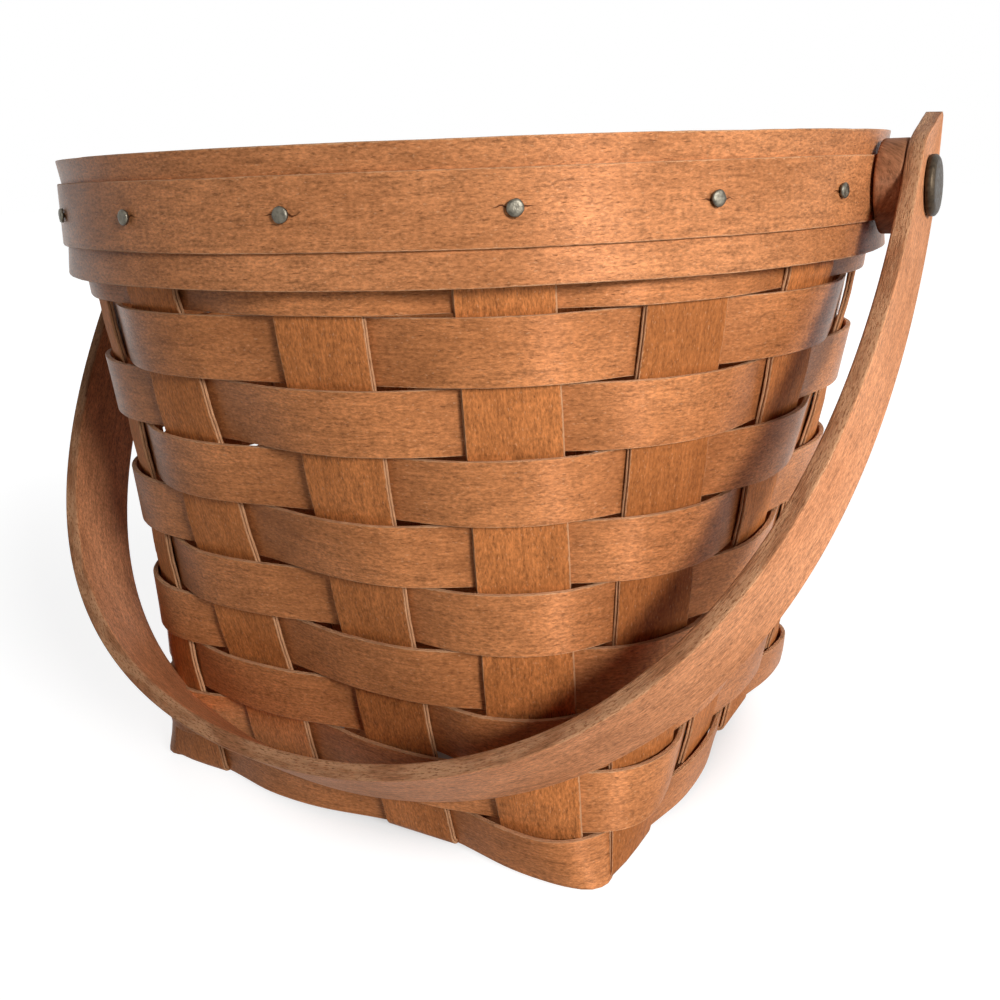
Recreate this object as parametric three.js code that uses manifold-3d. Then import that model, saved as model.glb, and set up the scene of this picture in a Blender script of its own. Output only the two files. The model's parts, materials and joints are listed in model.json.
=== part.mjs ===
// Swing handle basket: a woven splint basket, square at the base and round at the rim,
// with nailed rim bands and a bent wooden bail that swings on two rivets.
// Millimetres, +Z up. The origin is on the floor at the middle of the base, and the bail
// hangs down towards -Y.

import * as THREE from 'three';
import { mergeVertices } from 'three/addons/utils/BufferGeometryUtils.js';
import Module from 'manifold-3d';

const wasm = await Module();
wasm.setup();

// Rim
const RIM_TOP = 172.9;
const RIM_RADIUS = 114;
const WIDE_BAND_HEIGHT = 28.6;
const WIDE_BAND_THICKNESS = 3.2;
const OUTER_BAND_HEIGHT = 15.3;
const OUTER_BAND_THICKNESS = 1.1;
const OUTER_BAND_DROP = 5.7;
const INNER_BAND_HEIGHT = 17.5;
const INNER_BAND_THICKNESS = 2.5;
const INNER_BAND_DROP = 1.2;
const BAND_SEGMENTS = 56;
const LAP_ANGLE = 15;
const WIDE_BAND_LAP_AT = 100;
const OUTER_BAND_LAP_AT = 195;
const INNER_BAND_LAP_AT = 40;
const LAP_TIP_THICKNESS = 0.35;

// Splints
const STAKE_WIDTH = 21.2;
const STAKE_THICKNESS = 1.3;
const STAKE_MIDDLE_GAP = 20;
const STAKE_SIDE_GAP = 16;
const STAKE_TOP_DROP = 2.2;
const STAKE_TOP_ANGLES = [12.9, 34.1];
const WEAVER_THICKNESS = 1.3;
const WEAVER_BULGE = 0.6;
const WEAVER_TURN = 1.1;
const FULL_ROWS = 9;
const ROW_GAP = 0.3;
const FIRST_WEAVER_TOP = 14.4;
const FIRST_WEAVER_LIFT = 3.3;
const FIRST_WEAVER_STEP = 1.4;
const BEND_RADIUS = 2.2;
const BEND_STEPS = 3;
const SHOULDER_DROP = 30.4;
const CORNER_POWER = 0.71;
const SIDE_BOW = -0.07;
const STAKE_SPREAD_POWER = 1.76;

// Tacks
const TACK_HEAD_RADIUS = 1.8;
const TACK_HEAD_HEIGHT = 0.9;
const TACK_SHANK_RADIUS = 0.6;
const TACK_TOES = [3.1, 2.8, -1.1, 1.0, 0.5, -0.5, 0.8, -1.2, 0.4, 1.3, -0.7, 0.6, -1.0, 0.9, 0.3, -0.8];

// Bail and its pivots
const HANDLE_LENGTH = 163.7;
const HANDLE_THICKNESS = 3.8;
const HANDLE_PIVOT_WIDTH = 23;
const HANDLE_GRIP_WIDTH = 24.5;
const HANDLE_EDGE = 0.8;
const HANDLE_SPAN_POWER = 1.996;
const HANDLE_DROP_POWER = 3.19;
const HANDLE_WAIST = 0.033;
const HANDLE_TWIST = 4.2;
const HANDLE_STEPS = 46;
const EAR_LENGTH = 20.5;
const EAR_TIP_WIDTH = 5;
const EAR_TAPER_POWER = 1.2;
const EAR_ROUND_SHARE = 0.18;
const EAR_ROUND_DEPTH = 0.9;
const EAR_LEAN = 3;
const SPACER_RADIUS = 11.2;
const SPACER_THICKNESS = 6.2;
const RIVET_RADIUS = 2.5;
const RIVET_HEAD_RADIUS = 7.2;
const RIVET_HEAD_THICKNESS = 2;
const WASHER_RADIUS = 6;
const WASHER_THICKNESS = 1.2;
const RIVET_PEEN_RADIUS = 4;
const RIVET_PEEN_HEIGHT = 1.6;

const CLEARANCE = 0.3;
// How far a drill runs past the faces that it cuts
const OVERRUN = 2;
const DEG = Math.PI / 180;

// Radii and levels that follow from the sizes above
const wideOuter = RIM_RADIUS - OUTER_BAND_THICKNESS - CLEARANCE;
const wideInner = wideOuter - WIDE_BAND_THICKNESS;
const facetShare = Math.cos(Math.PI / BAND_SEGMENTS);
const weaverOffset = STAKE_THICKNESS / 2 + CLEARANCE + WEAVER_THICKNESS / 2;
const wallTop = wideInner * facetShare - CLEARANCE - weaverOffset - WEAVER_THICKNESS / 2;
const innerOuter = wallTop - STAKE_THICKNESS / 2 - CLEARANCE;
const innerInner = innerOuter - INNER_BAND_THICKNESS;
const pivotHeight = RIM_TOP - OUTER_BAND_DROP - OUTER_BAND_HEIGHT / 2;
const innerBandTop = RIM_TOP - INNER_BAND_DROP;
const weaveTop = innerBandTop - INNER_BAND_HEIGHT - CLEARANCE;
const rowPitch = (weaveTop - FIRST_WEAVER_TOP) / FULL_ROWS;
const shoulderHeight = RIM_TOP - SHOULDER_DROP;
const stakeTop = RIM_TOP - STAKE_TOP_DROP;

// Stake places on the base: distance of each stake's middle from the middle of a side
const innerStake = (STAKE_MIDDLE_GAP + STAKE_WIDTH) / 2;
const outerStake = innerStake + STAKE_WIDTH + STAKE_SIDE_GAP;
const BASE_PLACES = [-outerStake, -innerStake, innerStake, outerStake];
const TOP_ANGLES = [-STAKE_TOP_ANGLES[1], -STAKE_TOP_ANGLES[0], STAKE_TOP_ANGLES[0], STAKE_TOP_ANGLES[1]];
const UPRIGHTS = 16;
const SIDES = 4;
const PER_SIDE = UPRIGHTS / SIDES;
const baseHalf = outerStake + STAKE_WIDTH / 2 + BEND_RADIUS;
const lowLevel = STAKE_THICKNESS / 2;
const highLevel = lowLevel + STAKE_THICKNESS + CLEARANCE;

// Row boundaries from the top down; the first weaver, at the base, is a narrow one
const LEVELS = [];
for (let k = 0; k <= FULL_ROWS; k++) {
  LEVELS.push(weaveTop - k * rowPitch);
}
const lowestBoundary = LEVELS[FULL_ROWS];

const WOOD = {
  stake: material(0xb0713a, 0.55, 0),
  weaver: material(0xbd7c42, 0.5, 0),
  band: material(0xb87a44, 0.5, 0),
  handle: material(0xc98f62, 0.5, 0),
  spacer: material(0x9c6236, 0.6, 0),
};
const METAL = {
  tack: material(0x9a948a, 0.45, 0.9),
  rivet: material(0x5e5138, 0.5, 0.85),
};

function material(color, roughness, metalness) {
  return new THREE.MeshStandardMaterial({ color, roughness, metalness });
}

function named(name, geometry, surface) {
  const mesh = new THREE.Mesh(geometry, surface);
  mesh.name = name;
  return mesh;
}

function mix(a, b, t) {
  return a + (b - a) * t;
}

function smooth(t) {
  const c = Math.min(Math.max(t, 0), 1);
  return c * c * (3 - 2 * c);
}

// Closed body from a row of sections with equal numbers of points. A ring joins its last
// section to its first; otherwise both ends are capped.
function loft(sections, isRing) {
  const around = sections[0].length;
  const positions = sections.flat().flatMap((p) => [p.x, p.y, p.z]);
  const index = [];
  const spans = isRing ? sections.length : sections.length - 1;
  for (let s = 0; s < spans; s++) {
    const here = s * around;
    const there = ((s + 1) % sections.length) * around;
    for (let c = 0; c < around; c++) {
      const next = (c + 1) % around;
      index.push(here + c, there + c, there + next);
      index.push(here + c, there + next, here + next);
    }
  }
  if (!isRing) {
    const last = (sections.length - 1) * around;
    for (let c = 1; c < around - 1; c++) {
      index.push(0, c, c + 1);
      index.push(last, last + c + 1, last + c);
    }
  }
  if (signedVolume(positions, index) < 0) {
    index.reverse();
  }
  const geometry = new THREE.BufferGeometry();
  geometry.setAttribute('position', new THREE.Float32BufferAttribute(positions, 3));
  geometry.setIndex(index);
  return geometry;
}

function signedVolume(positions, index) {
  let sum = 0;
  const corner = (n) => new THREE.Vector3().fromArray(positions, 3 * index[n]);
  for (let n = 0; n < index.length; n += 3) {
    sum += corner(n).dot(corner(n + 1).cross(corner(n + 2)));
  }
  return sum;
}

function toSolid(geometry) {
  const bare = geometry.clone();
  bare.deleteAttribute('normal');
  bare.deleteAttribute('uv');
  const merged = mergeVertices(bare, 1e-4);
  return new wasm.Manifold(new wasm.Mesh({
    numProp: 3,
    vertProperties: new Float32Array(merged.attributes.position.array),
    triVerts: new Uint32Array(merged.index.array),
  }));
}

function toGeometry(solid) {
  const mesh = solid.getMesh();
  const geometry = new THREE.BufferGeometry();
  geometry.setAttribute('position', new THREE.Float32BufferAttribute(mesh.vertProperties, 3));
  geometry.setIndex(Array.from(mesh.triVerts));
  return geometry;
}

function drill(geometry, drills) {
  let solid = toSolid(geometry);
  for (const tool of drills) {
    solid = solid.subtract(toSolid(tool));
  }
  return toGeometry(solid);
}

// A prism that lies along a radius of the basket, from one radius to another
function radialPrism(azimuth, height, radius, from, to, sides) {
  const geometry = new THREE.CylinderGeometry(radius, radius, to - from, sides);
  geometry.rotateZ(-Math.PI / 2);
  geometry.translate((from + to) / 2, 0, height);
  geometry.rotateZ(azimuth);
  return geometry;
}

// A turned piece on a radius of the basket: profile points are [outward distance, radius]
function radialTurning(azimuth, height, profile, sides) {
  const points = profile.map(([outward, radius]) => new THREE.Vector2(radius, outward));
  const geometry = new THREE.LatheGeometry(points, sides);
  geometry.rotateZ(-Math.PI / 2);
  geometry.translate(0, 0, height);
  geometry.rotateZ(azimuth);
  return geometry;
}

// The wall's middle surface: at each height a square whose corners are rounded, from
// sharp at the base to a full circle at the shoulder
function wallSection(z) {
  const v = Math.min(Math.max(z / shoulderHeight, 0), 1);
  const half = mix(baseHalf, wallTop, v + SIDE_BOW * v * (1 - v));
  const corner = Math.min(half, wallTop * v ** CORNER_POWER);
  const flat = half - corner;
  return { v, half, corner, flat, perimeter: 8 * flat + 2 * Math.PI * corner };
}

// Point, tangent (counter-clockwise) and outward normal on the section at height z, for
// upright number i and a distance across the splint
function wallFrame(i, across, z) {
  const section = wallSection(z);
  const side = Math.floor(i / PER_SIDE);
  const place = i % PER_SIDE;
  const baseShare = BASE_PLACES[place] / (8 * baseHalf);
  const topShare = TOP_ANGLES[place] / 360;
  const share = mix(baseShare, topShare, section.v ** STAKE_SPREAD_POWER);
  const along = share * section.perimeter + across;
  const past = Math.max(Math.abs(along) - section.flat, 0);
  const turn = section.corner > 0 ? Math.sign(along) * past / section.corner : 0;
  const reach = Math.min(Math.abs(along), section.flat) * Math.sign(along);
  const point = new THREE.Vector3(
    section.flat + section.corner * Math.cos(turn),
    reach + section.corner * Math.sin(turn),
    z,
  );
  const normal = new THREE.Vector3(Math.cos(turn), Math.sin(turn), 0);
  const tangent = new THREE.Vector3(-Math.sin(turn), Math.cos(turn), 0);
  const sideTurn = (side - 1) * Math.PI / 2;
  const up = new THREE.Vector3(0, 0, 1);
  for (const vector of [point, normal, tangent]) {
    vector.applyAxisAngle(up, sideTurn);
  }
  return { point, normal, tangent };
}

// The same, straight between the row boundaries, so that stakes and weavers share faces
function splintFrame(i, across, z) {
  const stops = [stakeTop, ...LEVELS, 0];
  let k = 0;
  while (k < stops.length - 2 && z < stops[k + 1]) {
    k++;
  }
  const high = wallFrame(i, across, stops[k]);
  const low = wallFrame(i, across, stops[k + 1]);
  const t = (z - stops[k + 1]) / (stops[k] - stops[k + 1]);
  return {
    point: low.point.lerp(high.point, t),
    normal: low.normal.lerp(high.normal, t).normalize(),
    tangent: low.tangent.lerp(high.tangent, t).normalize(),
  };
}

const COLUMNS = [-STAKE_WIDTH / 2, 0, STAKE_WIDTH / 2];

// Section of a splint: its columns on one face, then back along the other
function splintSection(frames, thickness) {
  const out = frames.map((f) => f.point.clone().addScaledVector(f.normal, thickness / 2));
  const back = frames.map((f) => f.point.clone().addScaledVector(f.normal, -thickness / 2));
  return [...out, ...back.reverse()];
}

// Upright i of a stake, from its top end down to the end of its bend at the base
function uprightSections(i, level) {
  const side = Math.floor(i / PER_SIDE);
  const sideTurn = (side - 1) * Math.PI / 2;
  const outward = new THREE.Vector3(Math.cos(sideTurn), Math.sin(sideTurn), 0);
  const sections = [stakeTop, ...LEVELS].map((z) => (
    splintSection(COLUMNS.map((across) => splintFrame(i, across, z)), STAKE_THICKNESS)
  ));
  for (let step = BEND_STEPS; step >= 0; step--) {
    const frames = COLUMNS.map((across) => bendFrame(i, across, level, step / BEND_STEPS, outward));
    sections.push(splintSection(frames, STAKE_THICKNESS));
  }
  return sections;
}

// A column of a stake on its bend: 0 is flat on the base and 1 meets the wall
function bendFrame(i, across, level, share, outward) {
  const foot = wallFrame(i, across, 0);
  const knee = wallFrame(i, across, lowestBoundary);
  const shift = knee.point.clone().sub(foot.point);
  const slope = shift.dot(outward) / lowestBoundary;
  const sideways = new THREE.Vector3(-outward.y, outward.x, 0);
  const drift = shift.dot(sideways) / lowestBoundary;
  const fullTurn = Math.PI / 2 - Math.atan(slope);
  const endHeight = level + BEND_RADIUS * (1 - Math.cos(fullTurn));
  const start = baseHalf + slope * endHeight - BEND_RADIUS * Math.sin(fullTurn);
  const turn = share * fullTurn;
  const z = level + BEND_RADIUS * (1 - Math.cos(turn));
  const reach = start + BEND_RADIUS * Math.sin(turn);
  const rise = smooth((z - level) / (endHeight - level));
  const point = foot.point.clone()
    .addScaledVector(outward, reach - baseHalf)
    .addScaledVector(sideways, drift * z * rise);
  point.z = z;
  const wallNormal = splintFrame(i, across, endHeight).normal;
  const flatNormal = new THREE.Vector3(0, 0, -1);
  const swing = turn / fullTurn;
  const normal = outward.clone().multiplyScalar(Math.sin(turn)).addScaledVector(flatNormal, Math.cos(turn));
  normal.lerp(wallNormal, smooth(swing) * swing).normalize();
  return { point, normal };
}

// A stake runs up one side, across the base over and under the others, and up the far side
function stakeSections(lane, alongY) {
  const first = alongY ? lane : PER_SIDE + lane;
  const second = alongY ? 3 * PER_SIDE - 1 - lane : UPRIGHTS - 1 - lane;
  const across = new THREE.Vector3(alongY ? 1 : 0, alongY ? 0 : 1, 0);
  const forward = new THREE.Vector3(alongY ? 0 : 1, alongY ? 1 : 0, 0);
  const crossings = BASE_PLACES.map((place, k) => {
    const level = isOver(lane, k, alongY) ? highLevel : lowLevel;
    return { place, level };
  });
  const start = uprightSections(alongY ? first : second, crossings[0].level);
  const end = uprightSections(alongY ? second : first, crossings[PER_SIDE - 1].level);
  const sections = [...start];
  const flatHalf = STAKE_WIDTH / 2 + CLEARANCE;
  crossings.forEach(({ place, level }, k) => {
    const edges = [place - flatHalf, place + flatHalf];
    edges.forEach((reach, side) => {
      const isEnd = (k === 0 && side === 0) || (k === PER_SIDE - 1 && side === 1);
      if (!isEnd) {
        sections.push(baseSection(BASE_PLACES[lane], across, forward, reach, level));
      }
    });
  });
  const turned = end.reverse().map((points) => flipped(points));
  return [...sections, ...turned];
}

function isOver(lane, crossing, alongY) {
  const even = (lane + crossing) % 2 === 0;
  return alongY ? even : !even;
}

// A straight section on the base, with its points in the order of the first upright's
function baseSection(place, across, forward, reach, level) {
  const columns = [STAKE_WIDTH / 2, 0, -STAKE_WIDTH / 2].map((c) => {
    const sign = forward.x === 1 ? 1 : -1;
    const point = across.clone().multiplyScalar(place + sign * c).addScaledVector(forward, reach);
    point.z = level;
    return { point, normal: new THREE.Vector3(0, 0, -1) };
  });
  return splintSection(columns, STAKE_THICKNESS);
}

// The far upright's columns run the other way round, so each section is turned over
function flipped(points) {
  const n = points.length / 2;
  return [...points.slice(0, n).reverse(), ...points.slice(n).reverse()];
}

function uprightAzimuth(i) {
  const side = Math.floor(i / PER_SIDE);
  return ((side - 1) * 90 + TOP_ANGLES[i % PER_SIDE]) * DEG;
}

function tackAzimuth(i) {
  return uprightAzimuth(i) + TACK_TOES[i] * DEG;
}

function tackHole(i) {
  const radius = TACK_SHANK_RADIUS + CLEARANCE;
  return radialPrism(tackAzimuth(i), pivotHeight, radius, innerInner - OVERRUN, RIM_RADIUS + OVERRUN, 6);
}

function stake(name, lane, alongY) {
  const geometry = loft(stakeSections(lane, alongY), false);
  const ends = alongY
    ? [lane, 3 * PER_SIDE - 1 - lane]
    : [PER_SIDE + lane, UPRIGHTS - 1 - lane];
  return named(name, drill(geometry, ends.map(tackHole)), WOOD.stake);
}

// A weaver ring passes outside every second upright and inside the others
function weaver(name, row) {
  const top = LEVELS[row] - ROW_GAP / 2;
  const isFirst = row === FULL_ROWS;
  const bottom = isFirst ? FIRST_WEAVER_LIFT : LEVELS[row + 1] + ROW_GAP / 2;
  const bulge = row === 0 ? 0 : WEAVER_BULGE;
  const line = [];
  for (let i = 0; i < UPRIGHTS; i++) {
    const side = (i + row) % 2 === 0 ? 1 : -1;
    const foot = bottom + (isFirst && side < 0 ? FIRST_WEAVER_STEP : 0);
    const places = [
      { across: COLUMNS[0], turn: -WEAVER_TURN, out: weaverOffset },
      { across: 0, turn: 0, out: weaverOffset + bulge },
      { across: COLUMNS[2], turn: WEAVER_TURN, out: weaverOffset },
    ];
    for (const { across, turn, out } of places) {
      line.push([foot, top].map((z) => {
        const f = splintFrame(i, across, z);
        return f.point.addScaledVector(f.tangent, turn).addScaledVector(f.normal, side * out);
      }));
    }
  }
  const sections = line.map((pair, k) => {
    const before = line[(k + line.length - 1) % line.length];
    const after = line[(k + 1) % line.length];
    const [low, high] = pair.map((p, e) => offsetPair(before[e], p, after[e], WEAVER_THICKNESS / 2));
    return [low[0], high[0], high[1], low[1]];
  });
  return named(name, loft(sections, true), WOOD.weaver);
}

// Points on both sides of a bent line, at the mitre of its two stretches
function offsetPair(before, here, after, distance) {
  const inDir = here.clone().sub(before).setZ(0).normalize();
  const outDir = after.clone().sub(here).setZ(0).normalize();
  const mean = inDir.clone().add(outDir).normalize();
  const normal = new THREE.Vector3(mean.y, -mean.x, 0);
  const reach = distance / Math.max(mean.dot(inDir), 0.5);
  return [here.clone().addScaledVector(normal, reach), here.clone().addScaledVector(normal, -reach)];
}

// Radius at an angle of the polygon that stands for a circle, with a flat at each pivot
function hoopRadius(radius, angle) {
  const step = 2 * Math.PI / BAND_SEGMENTS;
  const offset = angle - Math.round(angle / step) * step;
  return radius * facetShare / Math.cos(offset);
}

// A hoop bent from one strip, whose thinned ends lap over each other
function hoop(inner, outer, bottom, top, lapAt) {
  const lap = LAP_ANGLE * DEG;
  const nick = CLEARANCE / outer;
  const start = lapAt * DEG;
  const step = 2 * Math.PI / BAND_SEGMENTS;
  const turn = 2 * Math.PI;
  const stops = new Set([0, lap, lap + nick, turn - nick, turn, turn + lap]);
  const firstCorner = Math.ceil(start / step - 0.5) + 0.5;
  for (let n = firstCorner; n * step < start + turn + lap; n++) {
    const at = n * step - start;
    if ([...stops].every((stop) => Math.abs(stop - at) > nick)) {
      stops.add(at);
    }
  }
  const lowFace = inner + LAP_TIP_THICKNESS;
  const highFace = outer - LAP_TIP_THICKNESS - CLEARANCE;
  const faceAt = (share) => mix(lowFace, highFace, share);
  const sections = [...stops].sort((a, b) => a - b).map((at) => {
    const under = at <= lap + nick / 2;
    const over = at >= turn - nick / 2;
    const outside = under ? faceAt(at / lap) : outer;
    const inside = over ? faceAt((at - turn) / lap) + CLEARANCE : inner;
    return [[inside, bottom], [outside, bottom], [outside, top], [inside, top]].map(([r, z]) => {
      const angle = start + at;
      const radius = hoopRadius(r, angle);
      return new THREE.Vector3(radius * Math.cos(angle), radius * Math.sin(angle), z);
    });
  });
  return loft(sections, false);
}

function pivotHole(azimuth) {
  const radius = RIVET_RADIUS + CLEARANCE;
  return radialPrism(azimuth, pivotHeight, radius, innerInner - OVERRUN, RIM_RADIUS + OVERRUN, 12);
}

function band(name, inner, outer, bottom, top, lapAt) {
  const holes = [pivotHole(0), pivotHole(Math.PI)];
  for (let i = 0; i < UPRIGHTS; i++) {
    holes.push(tackHole(i));
  }
  return named(name, drill(hoop(inner, outer, bottom, top, lapAt), holes), WOOD.band);
}

function tack(name, i) {
  const azimuth = tackAzimuth(i);
  const seat = hoopRadius(RIM_RADIUS, azimuth) + CLEARANCE;
  const profile = [
    [innerInner + CLEARANCE, 0],
    [innerInner + 3 * TACK_SHANK_RADIUS, TACK_SHANK_RADIUS],
    [seat, TACK_SHANK_RADIUS],
    [seat, TACK_HEAD_RADIUS],
    [seat + TACK_HEAD_HEIGHT / 3, TACK_HEAD_RADIUS],
    [seat + TACK_HEAD_HEIGHT, TACK_HEAD_RADIUS / 2],
    [seat + TACK_HEAD_HEIGHT, 0],
  ];
  return named(name, radialTurning(azimuth, pivotHeight, profile, 6), METAL.tack);
}

const bandFace = RIM_RADIUS * facetShare;
const spacerInner = bandFace + CLEARANCE;
const handleInner = spacerInner + SPACER_THICKNESS + CLEARANCE;
const handleSpan = handleInner + HANDLE_THICKNESS / 2;
const handleOuter = handleInner + HANDLE_THICKNESS;

function spacer(name, azimuth) {
  const bore = RIVET_RADIUS + CLEARANCE;
  const outer = spacerInner + SPACER_THICKNESS;
  const edge = SPACER_THICKNESS / 12;
  const profile = [
    [spacerInner, bore],
    [spacerInner, SPACER_RADIUS - edge],
    [spacerInner + edge, SPACER_RADIUS],
    [outer - edge, SPACER_RADIUS],
    [outer, SPACER_RADIUS - edge],
    [outer, bore],
    [spacerInner, bore],
  ];
  return named(name, radialTurning(azimuth, pivotHeight, profile, 24), WOOD.spacer);
}

const washerOuter = innerInner * facetShare - CLEARANCE;
const washerInner = washerOuter - WASHER_THICKNESS;

function washer(name, azimuth) {
  const bore = RIVET_RADIUS + CLEARANCE;
  const profile = [
    [washerInner, bore],
    [washerInner, WASHER_RADIUS],
    [washerOuter, WASHER_RADIUS],
    [washerOuter, bore],
    [washerInner, bore],
  ];
  return named(name, radialTurning(azimuth, pivotHeight, profile, 20), METAL.rivet);
}

function rivet(name, azimuth) {
  const peen = washerInner - CLEARANCE;
  const head = handleOuter + CLEARANCE;
  const profile = [
    [peen - RIVET_PEEN_HEIGHT, 0],
    [peen - RIVET_PEEN_HEIGHT, RIVET_PEEN_RADIUS / 2],
    [peen - RIVET_PEEN_HEIGHT / 3, RIVET_PEEN_RADIUS],
    [peen, RIVET_PEEN_RADIUS],
    [peen, RIVET_RADIUS],
    [head, RIVET_RADIUS],
    [head, RIVET_HEAD_RADIUS],
    [head + RIVET_HEAD_THICKNESS * 0.6, RIVET_HEAD_RADIUS],
    [head + RIVET_HEAD_THICKNESS, RIVET_HEAD_RADIUS * 0.86],
    [head + RIVET_HEAD_THICKNESS, 0],
  ];
  return named(name, radialTurning(azimuth, pivotHeight, profile, 24), METAL.rivet);
}

// Makes the greatest value of fall ** 2 * (1 - fall) one
const WAIST_PEAK = 27 / 4;

// The bail in its own plane: x is half the spread, drop is the distance below the pivots.
// Places run from one ear's tip to the other at even steps along the strip.
function handleLine() {
  const fine = 720;
  const raw = [];
  for (let k = 0; k <= fine; k++) {
    const u = Math.PI * k / fine;
    const x = handleSpan * Math.sign(Math.cos(u)) * Math.abs(Math.cos(u)) ** (2 / HANDLE_SPAN_POWER);
    const fall = Math.abs(Math.sin(u)) ** (2 / HANDLE_DROP_POWER);
    const waist = 1 - HANDLE_WAIST * WAIST_PEAK * fall ** 2 * (1 - fall);
    raw.push(new THREE.Vector2(x * waist, fall * HANDLE_LENGTH));
  }
  const lengths = [0];
  for (let k = 1; k <= fine; k++) {
    lengths.push(lengths[k - 1] + raw[k].distanceTo(raw[k - 1]));
  }
  const line = [];
  let at = 0;
  for (let k = 0; k <= HANDLE_STEPS; k++) {
    const want = lengths[fine] * k / HANDLE_STEPS;
    while (at < fine - 1 && lengths[at + 1] < want) {
      at++;
    }
    const t = (want - lengths[at]) / (lengths[at + 1] - lengths[at]);
    line.push(raw[at].clone().lerp(raw[at + 1], t));
  }
  return line;
}

function handleWidth(drop) {
  if (drop >= 0) {
    return mix(HANDLE_PIVOT_WIDTH, HANDLE_GRIP_WIDTH, drop / HANDLE_LENGTH);
  }
  const share = -drop / EAR_LENGTH;
  const taper = mix(HANDLE_PIVOT_WIDTH, EAR_TIP_WIDTH, smooth(share ** EAR_TAPER_POWER));
  const rounding = Math.max(share - 1 + EAR_ROUND_SHARE, 0) / EAR_ROUND_SHARE;
  return taper * Math.sqrt(1 - EAR_ROUND_DEPTH * rounding);
}

function handleSections() {
  const bow = handleLine();
  const earShares = [1, 0.96, 0.88, 0.75, 0.6, 0.45, 0.25];
  const lean = Math.tan(EAR_LEAN * DEG);
  const ear = earShares.map((share) => {
    const drop = -share * EAR_LENGTH;
    return new THREE.Vector2(handleSpan + lean * Math.max(-drop - RIVET_HEAD_RADIUS, 0), drop);
  });
  const farEar = ear.map((p) => new THREE.Vector2(-p.x, p.y)).reverse();
  const line = [...ear, ...bow, ...farEar];
  return line.map((p, k) => {
    const before = line[Math.max(k - 1, 0)];
    const after = line[Math.min(k + 1, line.length - 1)];
    const along = after.clone().sub(before).normalize();
    const inward = new THREE.Vector3(-along.y, 0, -along.x);
    const twist = HANDLE_TWIST * DEG * smooth(p.y / HANDLE_LENGTH);
    const front = new THREE.Vector3(0, -Math.cos(twist), 0).addScaledVector(inward, Math.sin(twist));
    const face = inward.clone().multiplyScalar(Math.cos(twist)).add(new THREE.Vector3(0, Math.sin(twist), 0));
    const half = handleWidth(p.y) / 2;
    const thick = HANDLE_THICKNESS / 2;
    const edge = Math.min(HANDLE_EDGE, half / 2);
    const outline = [
      [half - edge, thick], [half, thick - edge], [half, edge - thick], [half - edge, -thick],
      [edge - half, -thick], [-half, edge - thick], [-half, thick - edge], [edge - half, thick],
    ];
    return outline.map(([w, t]) => (
      new THREE.Vector3(p.x, 0, -p.y).addScaledVector(front, w).addScaledVector(face, t)
    ));
  });
}

// Distance of a point from the woven wall's outside, less than zero inside it
function outsideWall(point) {
  const { half, corner } = wallSection(point.z);
  const proud = weaverOffset + WEAVER_THICKNESS / 2 + WEAVER_BULGE;
  const x = Math.abs(point.x) - (half - corner);
  const y = Math.abs(point.y) - (half - corner);
  const away = Math.hypot(Math.max(x, 0), Math.max(y, 0)) + Math.min(Math.max(x, y), 0);
  return away - corner - proud;
}

// The bail hangs until its back edge meets the lower half of the wall
function restAngle(sections) {
  const axis = new THREE.Vector3(1, 0, 0);
  const touches = (angle) => sections.flat().some((p) => {
    const q = p.clone().applyAxisAngle(axis, -angle);
    q.z += pivotHeight;
    return q.z < shoulderHeight / 2 && outsideWall(q) < CLEARANCE;
  });
  let low = 0;
  let high = Math.PI / 2;
  for (let n = 0; n < 24; n++) {
    const middle = (low + high) / 2;
    if (touches(middle)) {
      low = middle;
    } else {
      high = middle;
    }
  }
  return high;
}

function handle(name) {
  const sections = handleSections();
  const holes = [0, Math.PI].map((azimuth) => (
    radialPrism(azimuth, 0, RIVET_RADIUS + CLEARANCE, handleInner - OVERRUN, handleOuter + OVERRUN, 12)
  ));
  const mesh = named(name, drill(loft(sections, false), holes), WOOD.handle);
  mesh.position.z = pivotHeight;
  mesh.rotation.x = -restAngle(sections);
  return mesh;
}

const basket = new THREE.Group();

BASE_PLACES.forEach((place, lane) => {
  basket.add(stake(`stake_front_back_${lane + 1}`, lane, true));
  basket.add(stake(`stake_left_right_${lane + 1}`, lane, false));
});

for (let row = 0; row <= FULL_ROWS; row++) {
  basket.add(weaver(`weaver_${String(row + 1).padStart(2, '0')}`, row));
}

const outerInner = wideOuter + CLEARANCE;
const outerTop = RIM_TOP - OUTER_BAND_DROP;
const wideBottom = RIM_TOP - WIDE_BAND_HEIGHT;
const outerBottom = outerTop - OUTER_BAND_HEIGHT;
const innerBottom = innerBandTop - INNER_BAND_HEIGHT;
basket.add(band('rim_wide_band', wideInner, wideOuter, wideBottom, RIM_TOP, WIDE_BAND_LAP_AT));
basket.add(band('rim_outer_band', outerInner, RIM_RADIUS, outerBottom, outerTop, OUTER_BAND_LAP_AT));
basket.add(band('rim_inner_band', innerInner, innerOuter, innerBottom, innerBandTop, INNER_BAND_LAP_AT));

for (let i = 0; i < UPRIGHTS; i++) {
  basket.add(tack(`tack_${String(i + 1).padStart(2, '0')}`, i));
}

basket.add(handle('swing_handle'));
for (const [side, azimuth] of [['right', 0], ['left', Math.PI]]) {
  basket.add(spacer(`spacer_${side}`, azimuth));
  basket.add(rivet(`rivet_${side}`, azimuth));
  basket.add(washer(`rivet_washer_${side}`, azimuth));
}

export default basket;
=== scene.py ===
"""Swing handle basket: the looks of a woven splint basket with nailed rim bands and a bent
wooden handle on two rivets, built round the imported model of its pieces."""

import json
import math

import bmesh
import bpy
from bpy.props import FloatProperty, FloatVectorProperty, PointerProperty
from mathutils import Matrix, Vector, noise


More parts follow.
